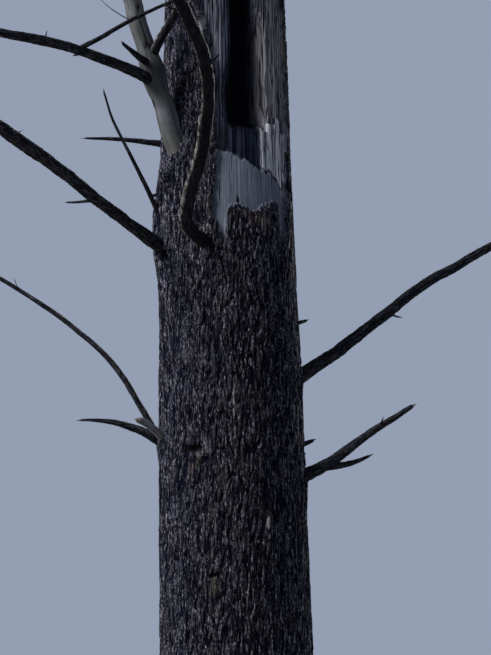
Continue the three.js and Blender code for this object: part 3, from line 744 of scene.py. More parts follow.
spurs = {
    # limb: share of its length, bearing, climb, length, radius
    "great_limb": [(0.104, 210, 52, 0.19, 0.004), (0.127, 206, 50, 0.14, 0.0035),
                   (0.37, 130, 30, 0.16, 0.011), (0.45, 290, 20, 0.12, 0.010),
                   (0.60, 230, 25, 0.20, 0.010), (0.82, 90, 35, 0.13, 0.008)],
    "high_left_bough": [(0.40, 200, -35, 0.055, 0.008), (0.76, 215, -30, 0.075, 0.004),
                        (0.62, 300, 20, 0.05, 0.005)],
    "high_left_fork": [(0.42, 196, 22, 0.22, 0.0032), (0.70, 330, 10, 0.05, 0.003)],
    "mid_left_bough": [(0.37, 178, -14, 0.17, 0.010), (0.39, 190, 8, 0.06, 0.009),
                       (0.80, 322, -18, 0.10, 0.004), (0.62, 120, 25, 0.06, 0.008)],
    "front_bough": [(0.16, 190, 12, 0.05, 0.013), (0.62, 330, 20, 0.07, 0.009),
                    (0.78, 190, 10, 0.10, 0.008)],
    "mid_right_bough": [(0.36, 330, -38, 0.09, 0.008), (0.52, 100, 15, 0.10, 0.008),
                        (0.75, 320, 30, 0.09, 0.006)],
    "low_left_bough": [(0.52, 120, 10, 0.05, 0.004), (0.77, 235, 40, 0.07, 0.003)],
    "low_right_bough": [(0.69, 300, 25, 0.065, 0.0055), (0.45, 60, 20, 0.05, 0.007)],
    "crotch_arm": [(0.55, 60, 40, 0.05, 0.006)],
    "rear_low_bough": [(0.35, 170, 15, 0.13, 0.010), (0.7, 20, -10, 0.09, 0.007)],
    "rear_high_bough": [(0.3, 10, 20, 0.11, 0.010), (0.66, 150, 5, 0.14, 0.008)],
}
whorlSpurs = {"seed": 271, "count": 3, "length": (0.05, 0.14), "girth": 0.3}
stubForm = {"sides": 10, "row": 0.008, "spurRow": 0.006, "spurRows": 14, "rootDepth": 0.03}


def profile(kind, name):
    return limbForm[kind].get(name, limbForm[kind]["plain"])


def lineFrames(line, shares):
    # places and steady cross directions at shares of a line
    steps = np.linspace(0, 1, len(line))
    at = np.stack([np.interp(shares, steps, line[:, k]) for k in range(3)], axis=1)
    ways = np.gradient(at, axis=0)
    ways /= np.linalg.norm(ways, axis=1)[:, None]
    side = np.array([0.0, 0.0, 1.0]) if abs(ways[0][2]) < 0.9 else np.array([1.0, 0.0, 0.0])
    sides = []
    for way in ways:
        side = side - way * side.dot(way)
        side /= np.linalg.norm(side)
        sides.append(side)
    return at, ways, np.array(sides), np.cross(ways, sides)


def limbTube(line, radiusOf, length, wood, broken, seed, sides, row, name="plain"):
    # points (rows x sides) and their marks, for a limb or a spur
    f = limbForm
    rows = max(f["leastRows"], round(length / row))
    shares = np.linspace(0, 1, rows + 1)
    at, ways, across, over = lineFrames(line, shares)
    far = shares * length
    ends = smooth(far, 0.02, 0.2) * (1 - smooth(far, length - 0.15, length - 0.01))
    for way, step in ((across, 1), (over, 2)):
        push = waves(0 * far, far, f["crookRound"], f["crookLength"], seed + step) - 0.5
        at = at + way * (push * 2 * f["crook"] * ends)[:, None]
    u, up = np.meshgrid(np.arange(sides) / sides, far)
    plain = np.array([radiusOf(s) for s in shares])[:, None] * np.ones(sides)
    lumps = waves(u, up, 3, 0.09, seed + 5) - 0.5 + 0.5 * (waves(u, up, 5, 0.04, seed + 6) - 0.5)
    radius = plain * (1 + f["swell"] * 2 * lumps * np.minimum(1, ends[:, None] + 0.3))
    scale = np.clip(plain / 0.03, 0.25, 1.3)
    if wood == grey:
        grain = waves(u, up, f["grainRound"], 0.22, seed + 11) - 0.5
        crack = 1 - smooth(np.abs(waves(u, up, 13, 0.33, seed + 12) - 0.5), 0.0, 0.05)
        crack = crack * smooth(waves(u, up, 4, 0.4, seed + 13), 0.4, 0.6)
        radius += scale * (2 * f["grain"] * grain - f["crack"] * crack)
        raised = 1 - crack
    else:
        around = f["flakeRound"]
        edge, own = plates(u * around + 0.9 * waves(u, up, 6, 0.03, seed + 21),
                           up / f["flakeLength"], around, seed + 22)
        raised = smooth(edge, 0, 0.3)
        radius += scale * f["flake"] * (raised * (0.5 + own) - 0.5)
    cos, sin = np.cos(2 * np.pi * u), np.sin(2 * np.pi * u)
    turned = cos[..., None] * across[:, None] + sin[..., None] * over[:, None]
    points = at[:, None] + radius[..., None] * turned
    torn = np.zeros(u.shape)
    if broken:
        tornFrom = length - min(f["tornReach"], length * 0.25)
        torn = smooth(up, tornFrom, length)
        teeth = waves(u, 0 * u, 7, 1, seed + 31)
        points = mix(points, at[:, None], (torn * (0.45 + 0.5 * (1 - teeth)))[..., None])
        back = torn * (1 - teeth) * 0.6 * (length - tornFrom)
        points = points - ways[:, None] * back[..., None]
    looks = [along(profile(kind, name), up / length) for kind in ("lichen", "paintedLight")]
    return points, {
        "ridge": raised, "finish": np.stack([*looks, torn], axis=-1),
        "facing": (points - at[:, None]) / np.maximum(radius, 1e-4)[..., None],
        "straight": np.stack([radius * cos, radius * sin, up + seed], axis=-1),
    }


def spurTubes(limb, number):
    rows = spurs.get(limb["name"], [])
    if limb["name"].startswith("whorl_bough"):
        w = whorlSpurs
        roll = seeded(w["seed"] + number)
        rows = [((i + 0.4 + roll() * 0.5) / w["count"] * 0.9, 360 * roll(), -20 + 60 * roll(),
                 mix(*w["length"], roll()), w["girth"] * limb["radii"][0] * (0.7 + 0.6 * roll()))
                for i in range(w["count"])]
    made = []
    for i, (share, bearing, climb, length, r) in enumerate(rows):
        own = limbRadius(limb, share)
        way = course(bearing, climb)
        bend = course(bearing + 30 * (i % 2) - 15, climb + 25) - way
        steps = np.linspace(0, 1, 9)[:, None]
        full = length + own
        line = spread(limb["line"], share) + way * full * steps + bend * full * 0.5 * steps ** 2

        def radiusOf(s, r=r, own=own, full=full):
            swell = 0.5 * r * math.exp(-max(0, s * full - own) / (1.2 * r))
            return mix(r, 0.45 * r, s) + swell
        row = max(stubForm["spurRow"], full / stubForm["spurRows"])
        made.append(limbTube(line, radiusOf, full, limb["wood"], True, 900 + 37 * number + i,
                             stubForm["sides"], row))
    return made


snags = {
    # short broken stubs of small branches: bearing, height, climb, length, radius
    "rows": [(352, 3.80, 15, 0.075, 0.010), (350, 3.09, 20, 0.085, 0.012),
             (176, 4.62, -5, 0.06, 0.010)],
    "seed": 613, "count": 34, "from": 1.3, "to": 11.4, "length": (0.03, 0.13),
    "radius": (0.006, 0.014), "frontFree": 75,
}


def buildSnags(material):
    roll = seeded(snags["seed"])
    rows = list(snags["rows"])
    while len(rows) < snags["count"]:
        row = (360 * roll(), mix(snags["from"], snags["to"], roll()), -25 + 50 * roll(),
               mix(*snags["length"], roll()), mix(*snags["radius"], roll()))
        phi = signedTurn(row[0] - front)
        if woundMasks(phi, row[1])[0] <= 0 and abs(phi) > snags["frontFree"]:
            rows.append(row)
    tubes = []
    for i, (bearing, z, climb, length, r) in enumerate(rows):
        start = trunkPlace(bearing, z, plainRadius(bearing, z) - stubForm["rootDepth"])
        full = length + stubForm["rootDepth"]
        line = np.array([start + course(bearing, climb) * full * t / 6 for t in range(7)])
        points, marks = limbTube(line, lambda s, r=r: mix(1.5 * r, 0.7 * r, s), full, bark, True,
                                 1500 + 11 * i, stubForm["sides"], stubForm["row"])
        tubes.append((points, {"ridge": 0.6 * marks["ridge"], "wood": marks["finish"][..., 2],
                               "slow": marks["ridge"]}))
    dress(joinTubes("trunk_snags", tubes, material), "trunk")


def buildLimbs(materials):
    f = limbForm
    for number, limb in enumerate(limbs.values()):
        great = limb["name"] == "great_limb"
        sides = f["sides"] if max(limb["radii"]) > f["fatFrom"] else f["thinSides"]
        crotch = f["crotch"] if great else 0
        slim = profile("slim", limb["name"])

        def radiusOf(s, limb=limb, crotch=crotch, slim=slim):
            swell = 1 + crotch * bump((s - f["crotchAt"]) / f["crotchReach"])
            return limbRadius(limb, s) * swell * along(slim, s)
        tubes = [limbTube(limb["line"], radiusOf, limb["length"], limb["wood"], limb["broken"],
                          100 + 53 * number, f["greatSides"] if great else sides,
                          f["row"] * (1), limb["name"])]
        tubes += spurTubes(limb, number)
        piece = joinTubes(limb["name"] + "_wood", tubes, materials[limb["wood"]])
        dress(piece, limb["name"])
    print("limbs:", len(limbs))


# Twigs: grown by the rule of the solids, then carried on to finer ones within the same reach
twigRule = {"gap": 0.0003, "steps": (5, 3, 2), "perMetre": 5, "fewer": 2, "from": (0.1, 0.3),
            "over": (0.82, 0.55), "wander": 9, "lift": 4, "out": (38, 64), "round": (48, 132),
            "share": (0.46, 0.24), "vary": 0.25, "shareOfTwig": 0.42, "girth": 0.52,
            "tipRadius": 0.0016, "leastRadius": 0.0024, "taper": 0.8, "clear": 0.004,
            "trunkMargin": 0.06, "trunkStep": 0.2, "farAway": 0.3}
fineTwigs = {
    "spacing": 0.042, "draftSpacing": 2.2, "length": (0.035, 0.13), "radius": (0.0007, 0.0014),
    "out": (35, 75), "tipSpacing": 0.022, "tipLength": (0.012, 0.035), "tipRadius": 0.0006,
    "crook": 0.0022, "rowLength": 0.02, "mostRows": 24, "vary": 0.35, "tipShare": 0.3,
    "radii": (1, 0.8, 0.6, 0.4), "shortening": 0.45, "fullLengthFrom": 0.25,
    "thinFrom": (0.012, 0.0008),
}
upward = np.array([0.0, 0.0, 1.0])
taken = {"a": np.zeros((0, 3)), "b": np.zeros((0, 3)), "radius": np.zeros(0),
         "owner": np.zeros(0, str)}      # lines that twigs keep clear of


def unit(p):
    return p / np.linalg.norm(p)


def sideOf(ahead):
    side = unit(np.cross(ahead, upward))
    return side, np.cross(side, ahead)


def turnedAway(ahead, around, out):
    side, over = sideOf(ahead)
    cross = over * math.cos(around) + side * math.sin(around)
    return ahead * math.cos(out) + cross * math.sin(out)


def growTwig(order, start, way, length, foot, roll):
    t = twigRule
    steps = t["steps"][order]
    points = [start]
    ahead = way
    for _ in range(steps):
        points.append(points[-1] + ahead * length / steps)
        side, over = sideOf(ahead)
        turn = math.tan(math.radians((roll() - 0.5) * 2 * t["wander"]))
        lift = math.tan(math.radians((roll() - 0.5) * t["wander"] + t["lift"]))
        ahead = unit(ahead + side * turn + over * lift)
    radii = [mix(foot, t["tipRadius"], (i / steps) ** t["taper"]) for i in range(steps + 1)]
    return {"order": order, "line": np.array(points), "radii": radii, "length": length}


def between(a, b, c, d):
    # shortest distances between the segment a-b and each of the segments c-d
    u, v, w = b - a, d - c, a - c
    uu, uv, vv = u @ u, v @ u, (v * v).sum(1)
    uw, vw = w @ u, (v * w).sum(1)
    level = uu * vv - uv * uv
    crossing = level > 1e-9 * uu * vv
    s = np.where(crossing, np.clip((uv * vw - vv * uw) / np.where(crossing, level, 1), 0, 1), 0)
    t = np.clip((uv * s + vw) / vv, 0, 1)
    s = np.clip((uv * t - uw) / uu, 0, 1)
    return np.linalg.norm(w + u * s[:, None] - v * t[:, None], axis=1)


def takeLine(line, owner, radiusOf):
    count = len(line) - 1
    radii = np.array([radiusOf(i / count) for i in range(count)])
    for key, values in (("a", line[:-1]), ("b", line[1:]), ("radius", radii),
                        ("owner", np.array([owner] * count))):
        taken[key] = np.concatenate([taken[key], values])


def isClear(twig, owner):
    line = twig["line"]
    reach = twig["length"] + twigRule["farAway"]
    near = (taken["owner"] != owner) & (np.abs(taken["a"][:, 2] - line[0][2]) <= reach)
    a, b, radius = taken["a"][near], taken["b"][near], taken["radius"][near]
    for i in range(len(line) - 1):
        room = radius + twig["radii"][i] + twigRule["clear"]
        if (between(line[i], line[i + 1], a, b) <= room).any():
            return False
    return True


def withinReach(points, stem, reach):
    return all(between(p, p + upward * 0.001, stem[:-1], stem[1:]).min() < reach for p in points)


def coarseTwigs(limb):
    t = twigRule
    length, reach, seed = limb["mass"]
    line = limb["line"]
    way = unit(line[-1] - line[-2])
    foot = limbRadius(limb, 1)
    stem = growTwig(0, line[-1] + way * t["gap"], way, length, foot, seeded(seed))
    twigs = [stem]
    for n, parent in enumerate(twigs):      # twigs grows while it is read
        order, own = parent["order"], parent["line"]
        count = (round(length * t["perMetre"]), t["fewer"], 0)[order]
        for i in range(count):
            roll = seeded(seed * 7919 + n * 131 + i * 17)
            s = t["from"][order] + t["over"][order] * (i + roll() / 2) / count
            k = min(len(own) - 2, int(s * (len(own) - 1)))
            ahead = unit(own[k + 1] - own[k])
            vary = mix(1 - t["vary"], 1 + t["vary"], roll())
            share = mix(*t["share"], s) if n == 0 else t["shareOfTwig"]
            girth = max(t["leastRadius"], spread(parent["radii"], s) * t["girth"])
            around = math.radians((1 if i % 2 else -1) * mix(*t["round"], roll()))
            away = turnedAway(ahead, around, math.radians(mix(*t["out"], roll())))
            twig = growTwig(order + 1, spread(own, s), away, vary * share * parent["length"],
                            girth, roll)
            if withinReach(twig["line"], stem["line"], reach) and isClear(twig, limb["name"]):
                twigs.append(twig)
    return twigs


def twigTube(line, radii, sides, roll):
    # rows of a small crooked tube that narrows to its tip
    f = fineTwigs
    rows = len(line)
    if sides > 4:
        far = np.linalg.norm(line[-1] - line[0])
        rows = min(max(rows, round(far / f["rowLength"]) + 1), f["mostRows"])
    shares = np.linspace(0, 1, rows)
    at, _, across, over = lineFrames(line, shares)
    thick = np.interp(shares, np.linspace(0, 1, len(radii)), radii)
    if rows > 3:
        push = np.array([[roll() - 0.5, roll() - 0.5] for _ in range(rows)]) * 2 * f["crook"]
        push[0] = push[-1] = 0
        at = at + across * push[:, :1] + over * push[:, 1:]
        thick = thick * np.array([1 + f["vary"] * (roll() - 0.5) for _ in range(rows)])
        thick[0] = radii[0]
    thick[-1] *= f["tipShare"]
    turn = 2 * np.pi * np.arange(sides) / sides
    turned = (np.cos(turn)[None, :, None] * across[:, None]
              + np.sin(turn)[None, :, None] * over[:, None])
    return at[:, None] + thick[:, None, None] * turned, thick


def fineLine(start, way, length, roll, steps):
    points = [start]
    ahead = way
    for _ in range(steps):
        points.append(points[-1] + ahead * length / steps)
        side, over = sideOf(ahead)
        ahead = unit(ahead + side * (roll() - 0.5) * 0.5 + over * ((roll() - 0.5) * 0.5 + 0.08))
    return np.array(points)


def fineWay(ahead, roll):
    around = 2 * math.pi * roll()
    return unit(turnedAway(ahead, around, math.radians(mix(*fineTwigs["out"], roll()))))


def insideBox(points):
    return bool((points > np.array(cadBox[0])).all() and (points < np.array(cadBox[1])).all())


def growFine(limb, coarse):
    # returns line, radii and sides of each fine twig and of the tips on it
    f = fineTwigs
    reach, seed = limb["mass"][1:]
    stem = coarse[0]["line"]
    made = []
    for n, parent in enumerate(coarse):
        roll = seeded(seed * 104729 + n * 7)
        own, whole = parent["line"], parent["length"]
        count = int(whole / (f["spacing"] * 1))
        for i in range(count):
            s = (i + 0.3 + 0.6 * roll()) / count
            length = mix(*f["length"], roll()) * (1 - f["shortening"] * s)
            length = length * min(1, whole / f["fullLengthFrom"])
            ahead = unit(spread(own, s + 0.04) - spread(own, s - 0.04))
            line = fineLine(spread(own, s), fineWay(ahead, roll), length, roll, 3)
            foot = min(mix(*f["radius"], roll()), spread(parent["radii"], s))
            radii = [foot * share for share in f["radii"]]
            twig = {"line": line, "radii": radii, "length": length}
            kept = (insideBox(line) and withinReach(line, stem, reach)
                    and isClear(twig, limb["name"]))
            tips = int(length / f["tipSpacing"])
            for k in range(tips):
                share = (k + 0.5 + 0.4 * roll()) / max(1, tips)
                away = fineWay(unit(line[-1] - line[0]), roll)
                tip = fineLine(spread(line, share), away, mix(*f["tipLength"], roll()), roll, 1)
                if kept and insideBox(tip):
                    made.append((tip, [f["tipRadius"]] * 2, 3))
            if kept:
                made.append((line, radii, 4))
    return made


def buildTwigs(material):
    massed = [limb for limb in limbs.values() if limb["mass"]]
    for limb in massed:
        node = limb["name"] + "_twigs"
        coarse = coarseTwigs(limb)
        roll = seeded(limb["mass"][2] * 31)
        rows = [(t["line"], t["radii"], 7 if t["order"] == 0 else 5) for t in coarse]
        tubes = []
        for line, radii, sides in rows + growFine(limb, coarse):
            points, thick = twigTube(line, radii, sides, roll)
            thin = smooth(thick, *fineTwigs["thinFrom"])[:, None] * np.ones(sides)
            tubes.append((points, {"thin": thin, "tint": np.full(points.shape[:2], roll())}))
        dress(joinTubes(limb["name"] + "_fine_twigs", tubes, material), node)
        for twig in coarse:
            takeLine(twig["line"], node, lambda s, twig=twig: spread(twig["radii"], s))
    print("masses of twigs:", len(massed))


# Finishes

class Nodes:
    # short ways to add the nodes that the finishes use to a tree
    def __init__(self, tree):
        self.tree = tree

    def plug(self, socket, value):
        if isinstance(value, bpy.types.NodeSocket):
            self.tree.links.new(value, socket)
        else:
            socket.default_value = (*value, 1) if socket.type == "RGBA" else value

    def put(self, kind, inputs=None, **settings):
        node = self.tree.nodes.new(kind)
        for key, value in settings.items():
            setattr(node, key, value)
        for key, value in (inputs or {}).items():
            self.plug(node.inputs[key], value)
        return node

    def group(self, tree, inputs):
        return self.put("ShaderNodeGroup", inputs, node_tree=tree).outputs

    def mark(self, name, kind="Fac"):
        return self.put("ShaderNodeAttribute", attribute_name=name).outputs[kind]

    def parts(self, name):
        return self.put("ShaderNodeSeparateXYZ", {"Vector": self.mark(name, "Vector")}).outputs

    def stretched(self, vector, scale):
        return self.put("ShaderNodeMapping", {"Vector": vector, "Scale": scale}).outputs["Vector"]

    def noise(self, vector, scale, detail=3.0, rough=0.55):
        # scale is one number, or three that stretch the noise
        if isinstance(scale, tuple):
            vector, scale = self.stretched(vector, scale), 1.0
        inputs = {"Vector": vector, "Scale": scale, "Detail": detail, "Roughness": rough}
        return self.put("ShaderNodeTexNoise", inputs).outputs["Fac"]

    def ranged(self, value, low, high, to=(0.0, 1.0)):
        inputs = {"Value": value, "From Min": low, "From Max": high, "To Min": to[0],
                  "To Max": to[1]}
        node = self.put("ShaderNodeMapRange", inputs, interpolation_type="SMOOTHSTEP")
        return node.outputs["Result"]

    def reckon(self, how, a, b=0.0):
        return self.put("ShaderNodeMath", {0: a, 1: b}, operation=how).outputs["Value"]

    def times(self, *values):
        product = values[0]
        for value in values[1:]:
            product = self.reckon("MULTIPLY", product, value)
        return product

    def apart(self, value, middle):
        return self.reckon("ABSOLUTE", self.reckon("SUBTRACT", value, middle))

    def moved(self, how, vector, by):
        return self.put("ShaderNodeVectorMath", {0: vector, 1: by}, operation=how).outputs["Vector"]

    def blend(self, share, a, b, how="MIX"):
        node = self.put("ShaderNodeMix", {"Factor": share}, data_type="RGBA", blend_type=how)
        for socket, value in zip([i for i in node.inputs if i.type == "RGBA"], (a, b)):
            self.plug(socket, value)
        return [o for o in node.outputs if o.type == "RGBA"][0]


def newGroup(name, inputs, outputs):
    tree = bpy.data.node_groups.new(name, "ShaderNodeTree")
    for direction, rows in (("INPUT", inputs), ("OUTPUT", outputs)):
        for label, kind in rows.items():
            tree.interface.new_socket(label, in_out=direction, socket_type="NodeSocket" + kind)
    n = Nodes(tree)
    given, out = n.put("NodeGroupInput").outputs, n.put("NodeGroupOutput").inputs

    def give(**results):
        for key, value in results.items():
            tree.links.new(value, out[key])
        return tree
    return n, given, give


def makeGrainGroup():
    # long fibres of bare wood: a mask of pale fibres, dark cracks, and their height
    n, given, give = newGroup("woodGrain", {"Vector": "Vector"}, {
        "Fibre": "Float", "Crack": "Float", "Split": "Float", "Height": "Float"})
    fibre = n.noise(given["Vector"], (150, 150, 3.2), 4, 0.6)
    level = n.noise(given["Vector"], (48, 48, 1.7), 2, 0.5)
    crack = n.ranged(level, 0.40, 0.32)
    return give(Split=n.ranged(n.apart(level, 0.5), 0.035, 0.005),
                Fibre=n.ranged(fibre, 0.3, 0.7), Crack=crack,
                Height=n.reckon("SUBTRACT", fibre, crack))


def makeWeatherGroup():
    # blotches of rain stain and dust over a colour, the same on every wood of the tree
    n, given, give = newGroup("weathering", {
        "Color": "Color", "Vector": "Vector", "Amount": "Float"}, {"Color": "Color"})
    wide = n.ranged(n.noise(given["Vector"], 2.1, 4), 0.35, 0.68)
    small = n.ranged(n.noise(given["Vector"], 23, 3), 0.30, 0.72)
    color = given["Color"]
    for blotch, tint in ((wide, (0.45, 0.46, 0.50)), (small, (1.2, 1.21, 1.22))):
        color = n.blend(n.times(blotch, given["Amount"]), color, tint, "MULTIPLY")
    return give(Color=color)


def makeCrumbGroup():
    # the broken surface of bark: thin winding cracks at two sizes, crumbs between them, and a
    # band beside the cracks where painted glints go
    n, given, give = newGroup("barkCrumbs", {
        "Vector": "Vector", "Length": "Float", "Size": "Float"}, {
        "Height": "Float", "Mask": "Float", "Plate": "Float", "Rim": "Float"})
    stretch = n.put("ShaderNodeCombineXYZ", {"X": 1.0, "Y": 1.0, "Z": given["Length"]})
    place = n.moved("MULTIPLY", given["Vector"], stretch.outputs["Vector"])
    fine = n.noise(n.stretched(given["Vector"], (1.0, 1.0, 0.6)), n.times(given["Size"], 3.2),
                   4, 0.7)
    offs = []
    for ratio, shift in ((1.0, 0.0), (1.8, 3.7)):
        there = n.moved("ADD", place, (shift, shift, shift))
        offs.append(n.apart(n.noise(there, n.times(given["Size"], ratio), 2, 0.5), 0.5))
    large, small = n.ranged(offs[0], 0.015, 0.08), n.ranged(offs[1], 0.0, 0.07, (0.35, 1.0))
    plate = n.times(large, small)
    rim = n.reckon("SUBTRACT", n.ranged(offs[0], 0.03, 0.07), n.ranged(offs[0], 0.10, 0.16))
    return give(Height=n.reckon("ADD", n.times(fine, 0.8), plate),
                Mask=n.ranged(fine, 0.38, 0.62), Plate=plate, Rim=n.reckon("MAXIMUM", rim))


grainGroup, weatherGroup, crumbGroup = makeGrainGroup(), makeWeatherGroup(), makeCrumbGroup()


def newMaterial(name, roughness):
    material = bpy.data.materials.new(name)
    material.use_nodes = True
    shader = material.node_tree.nodes["Principled BSDF"]
    shader.inputs["Roughness"].default_value = roughness
    shader.inputs["Specular IOR Level"].default_value = 0.03
    n = Nodes(material.node_tree)
    return material, n, shader, n.put("ShaderNodeTexCoord").outputs["Object"]


def weathered(n, finish, color, place):
    inputs = {"Color": color, "Vector": place, "Amount": finish["weather"]}
    return n.group(weatherGroup, inputs)["Color"]


def finishWith(n, shader, finish, color, height, roughness=None):
    relief = n.put("ShaderNodeBump", {"Height": height, "Strength": finish["bump"],
                                      "Distance": finish["bumpReach"]}).outputs["Normal"]
    for socket, value in (("Base Color", color), ("Normal", relief), ("Roughness", roughness)):
        if value is not None:
            n.plug(shader.inputs[socket], value)


trunkFinish = {
    # furrow: near-black, painted shade for the bark's furrows and cracks
    "furrow": (0.0016, 0.002, 0.006), "ridge": (0.046, 0.049, 0.068),
    # the pale ridge colour is a painted highlight, used for glints
    "ridgeBrown": (0.062, 0.053, 0.061), "paintedRidgeGlint": (0.21, 0.208, 0.245),
    # knot core: dark knot wood, deepened to near black as painted shade in the knot's pit
    "knotCoreAndShade": (0.003, 0.003, 0.004), "lichen": (0.085, 0.09, 0.07),
    "moss": (0.105, 0.105, 0.078), "pale": (0.22, 0.215, 0.225), "red": (0.062, 0.040, 0.044),
    # hollow: near-black, painted shade for the hollow, the splits, the cracks and the gaps between
    # slats
    "stain": (0.40, 0.41, 0.43), "hollow": (0.0014, 0.0016, 0.004),
    # bare wood of the wound, dark and pale
    "mid": ((0.006, 0.008, 0.014), (0.026, 0.034, 0.056)),
    "left": ((0.022, 0.024, 0.034), (0.15, 0.155, 0.19)),
    "brown": ((0.095, 0.09, 0.10), (0.36, 0.345, 0.37)),
    "slat": ((0.24, 0.245, 0.27), (0.60, 0.60, 0.65)),
    "shield": ((0.056, 0.065, 0.086), (0.112, 0.126, 0.158)),
    "crumbLength": 0.11, "crumbSize": 40.0, "bump": 0.8, "bumpReach": 0.005, "weather": 0.4,
}
boughFinish = {
    # furrow: near-black, painted shade for cracks, flake edges and shaded limbs
    "furrow": (0.003, 0.003, 0.004), "flake": (0.022, 0.024, 0.034),
    # bare: the colour of painted highlights along the bark's pale streaks
    "flakeBrown": (0.032, 0.029, 0.033), "bare": (0.05, 0.052, 0.058),
    # lichen: pale lichen colour, also laid on as a painted highlight on the lit side
    "torn": (0.17, 0.14, 0.11), "lichen": (0.13, 0.135, 0.12),
    "crumbLength": 0.3, "crumbSize": 55.0, "bump": 0.6, "bumpReach": 0.003, "weather": 0.6,
}
greyFinish = {
    "pale": (0.150, 0.156, 0.178), "dark": (0.062, 0.065, 0.077), "fibre": (0.185, 0.183, 0.178),
    # crack: near-black painted shade for the checks in the wood
    "crack": (0.012, 0.011, 0.010), "green": (0.085, 0.088, 0.073),
    "shade": (0.010, 0.011, 0.013), "torn": (0.22, 0.18, 0.13),
    "bump": 0.4, "bumpReach": 0.0015, "weather": 0.5,
}
twigFinish = {
    "thick": (0.034, 0.031, 0.029), "thin": (0.052, 0.045, 0.040), "pale": (0.10, 0.098, 0.09),
    "crumbLength": 0.5, "crumbSize": 120.0, "bump": 0.35, "bumpReach": 0.0008, "weather": 0.5,
}


def crumbsOf(n, vector, finish):
    inputs = {"Vector": vector, "Length": finish["crumbLength"], "Size": finish["crumbSize"]}
    return n.group(crumbGroup, inputs)


def makeTrunkMaterial():
    f = trunkFinish
    material, n, shader, place = newMaterial("trunk_bark_and_wound", 0.9)
    ridge, wood = n.mark("ridge"), n.mark("wood")
    crumb = crumbsOf(n, place, f)
    streak = n.noise(place, (110, 110, 14), 4, 0.65)
    raised = n.times(n.ranged(ridge, 0.0, 0.45, (0.15, 1.0)),
                     n.ranged(streak, 0.3, 0.6, (0.5, 1.0)),
                     n.ranged(crumb["Plate"], 0.0, 0.9, (0.03, 1.0)),
                     n.ranged(crumb["Mask"], 0.0, 1.0, (0.15, 1.0)))
    # browner ridges: random brown patches, plus painted warm light on the front, sides left bluer
    middle = n.ranged(n.reckon("ABSOLUTE", n.mark("across")), 45.0, 15.0, (0.0, 0.45))
    brown = n.reckon("ADD", n.times(n.mark("slow"), 0.5), n.noise(place, 5.5, 3))
    brown = n.ranged(n.reckon("ADD", brown, middle), 0.8, 1.1)
    top = n.blend(brown, f["ridge"], f["ridgeBrown"])
    # painted highlight: pale glints on the band beside the cracks and on the highest ridges
    edges = n.reckon("MAXIMUM", crumb["Rim"], n.ranged(ridge, 0.55, 1.0, (0.0, 0.4)))
    glint = n.ranged(n.noise(place, (90, 90, 45), 3, 0.6), 0.45, 0.60)
    top = n.blend(n.times(glint, edges), top, f["paintedRidgeGlint"])
    mossy = n.ranged(n.noise(place, 7.5, 5, 0.6), 0.60, 0.72)
    top = n.blend(n.times(mossy, 0.5), top, f["lichen"])
    # painted shade: the furrows and the cracks between plates take the near-black furrow colour
    barkColor = n.blend(raised, f["furrow"], top)
    # dark knot wood and painted shade in the knot's pit
    knot = n.times(n.ranged(n.mark("knot"), 0.45, 0.8), 0.94)
    barkColor = n.blend(knot, barkColor, f["knotCoreAndShade"])

    grain = n.group(grainGroup, {"Vector": place})
    strip, slat, shield = n.parts("strip"), n.mark("slat"), n.mark("shield")
    bare = n.blend(grain["Fibre"], *f["mid"])
    for share, kind in ((strip["X"], "left"), (strip["Y"], "brown"), (slat, "slat"),
                        (shield, "shield")):
        bare = n.blend(share, bare, n.blend(grain["Fibre"], *f[kind]))
    # painted shade in the splits of the bare wood
    split = n.times(grain["Split"], n.reckon("SUBTRACT", 0.95, shield))
    bare = n.blend(split, bare, f["hollow"])
    sway = n.reckon("SUBTRACT", n.times(n.noise(place, (3, 3, 5), 2), 3.0), 1.5)
    across = n.reckon("ADD", n.mark("across"), sway)
    # painted shade in the gaps between the slats
    for angle in slats["gaps"]:
        gap = n.times(n.ranged(n.apart(across, angle), 1.1, 0.5), slat)
        bare = n.blend(gap, bare, f["hollow"])
    stain = n.ranged(n.noise(place, (9, 9, 1.1), 4, 0.6), 0.42, 0.66)
    bare = n.blend(n.times(stain, 0.45), bare, f["stain"], "MULTIPLY")
    # painted shade in the grain's cracks and wherever the dark mark lies
    for share in (grain["Crack"], n.ranged(n.mark("dark"), 0.05, 0.8, (0.0, 0.98))):
        bare = n.blend(share, bare, f["hollow"])
    color = weathered(n, f, n.blend(wood, barkColor, bare), place)
    spot = n.parts("spot")
    onRidge = n.ranged(ridge, -0.2, 0.7, (0.2, 0.85))
    broken = (n.ranged(crumb["Plate"], 0.0, 0.9, (0.2, 1.0)),
              n.ranged(crumb["Mask"], 0.0, 1.0, (0.4, 1.0)))
    for share, kind, over in ((spot["Z"], "red", broken), (spot["Y"], "moss", broken),
                              (spot["X"], "pale", ())):
        color = n.blend(n.times(share, onRidge, *over), color, f[kind])
    height = n.blend(wood, crumb["Height"], grain["Height"])
    finishWith(n, shader, f, color, height, n.ranged(raised, 0.0, 1.0, (0.98, 0.78)))
    return material


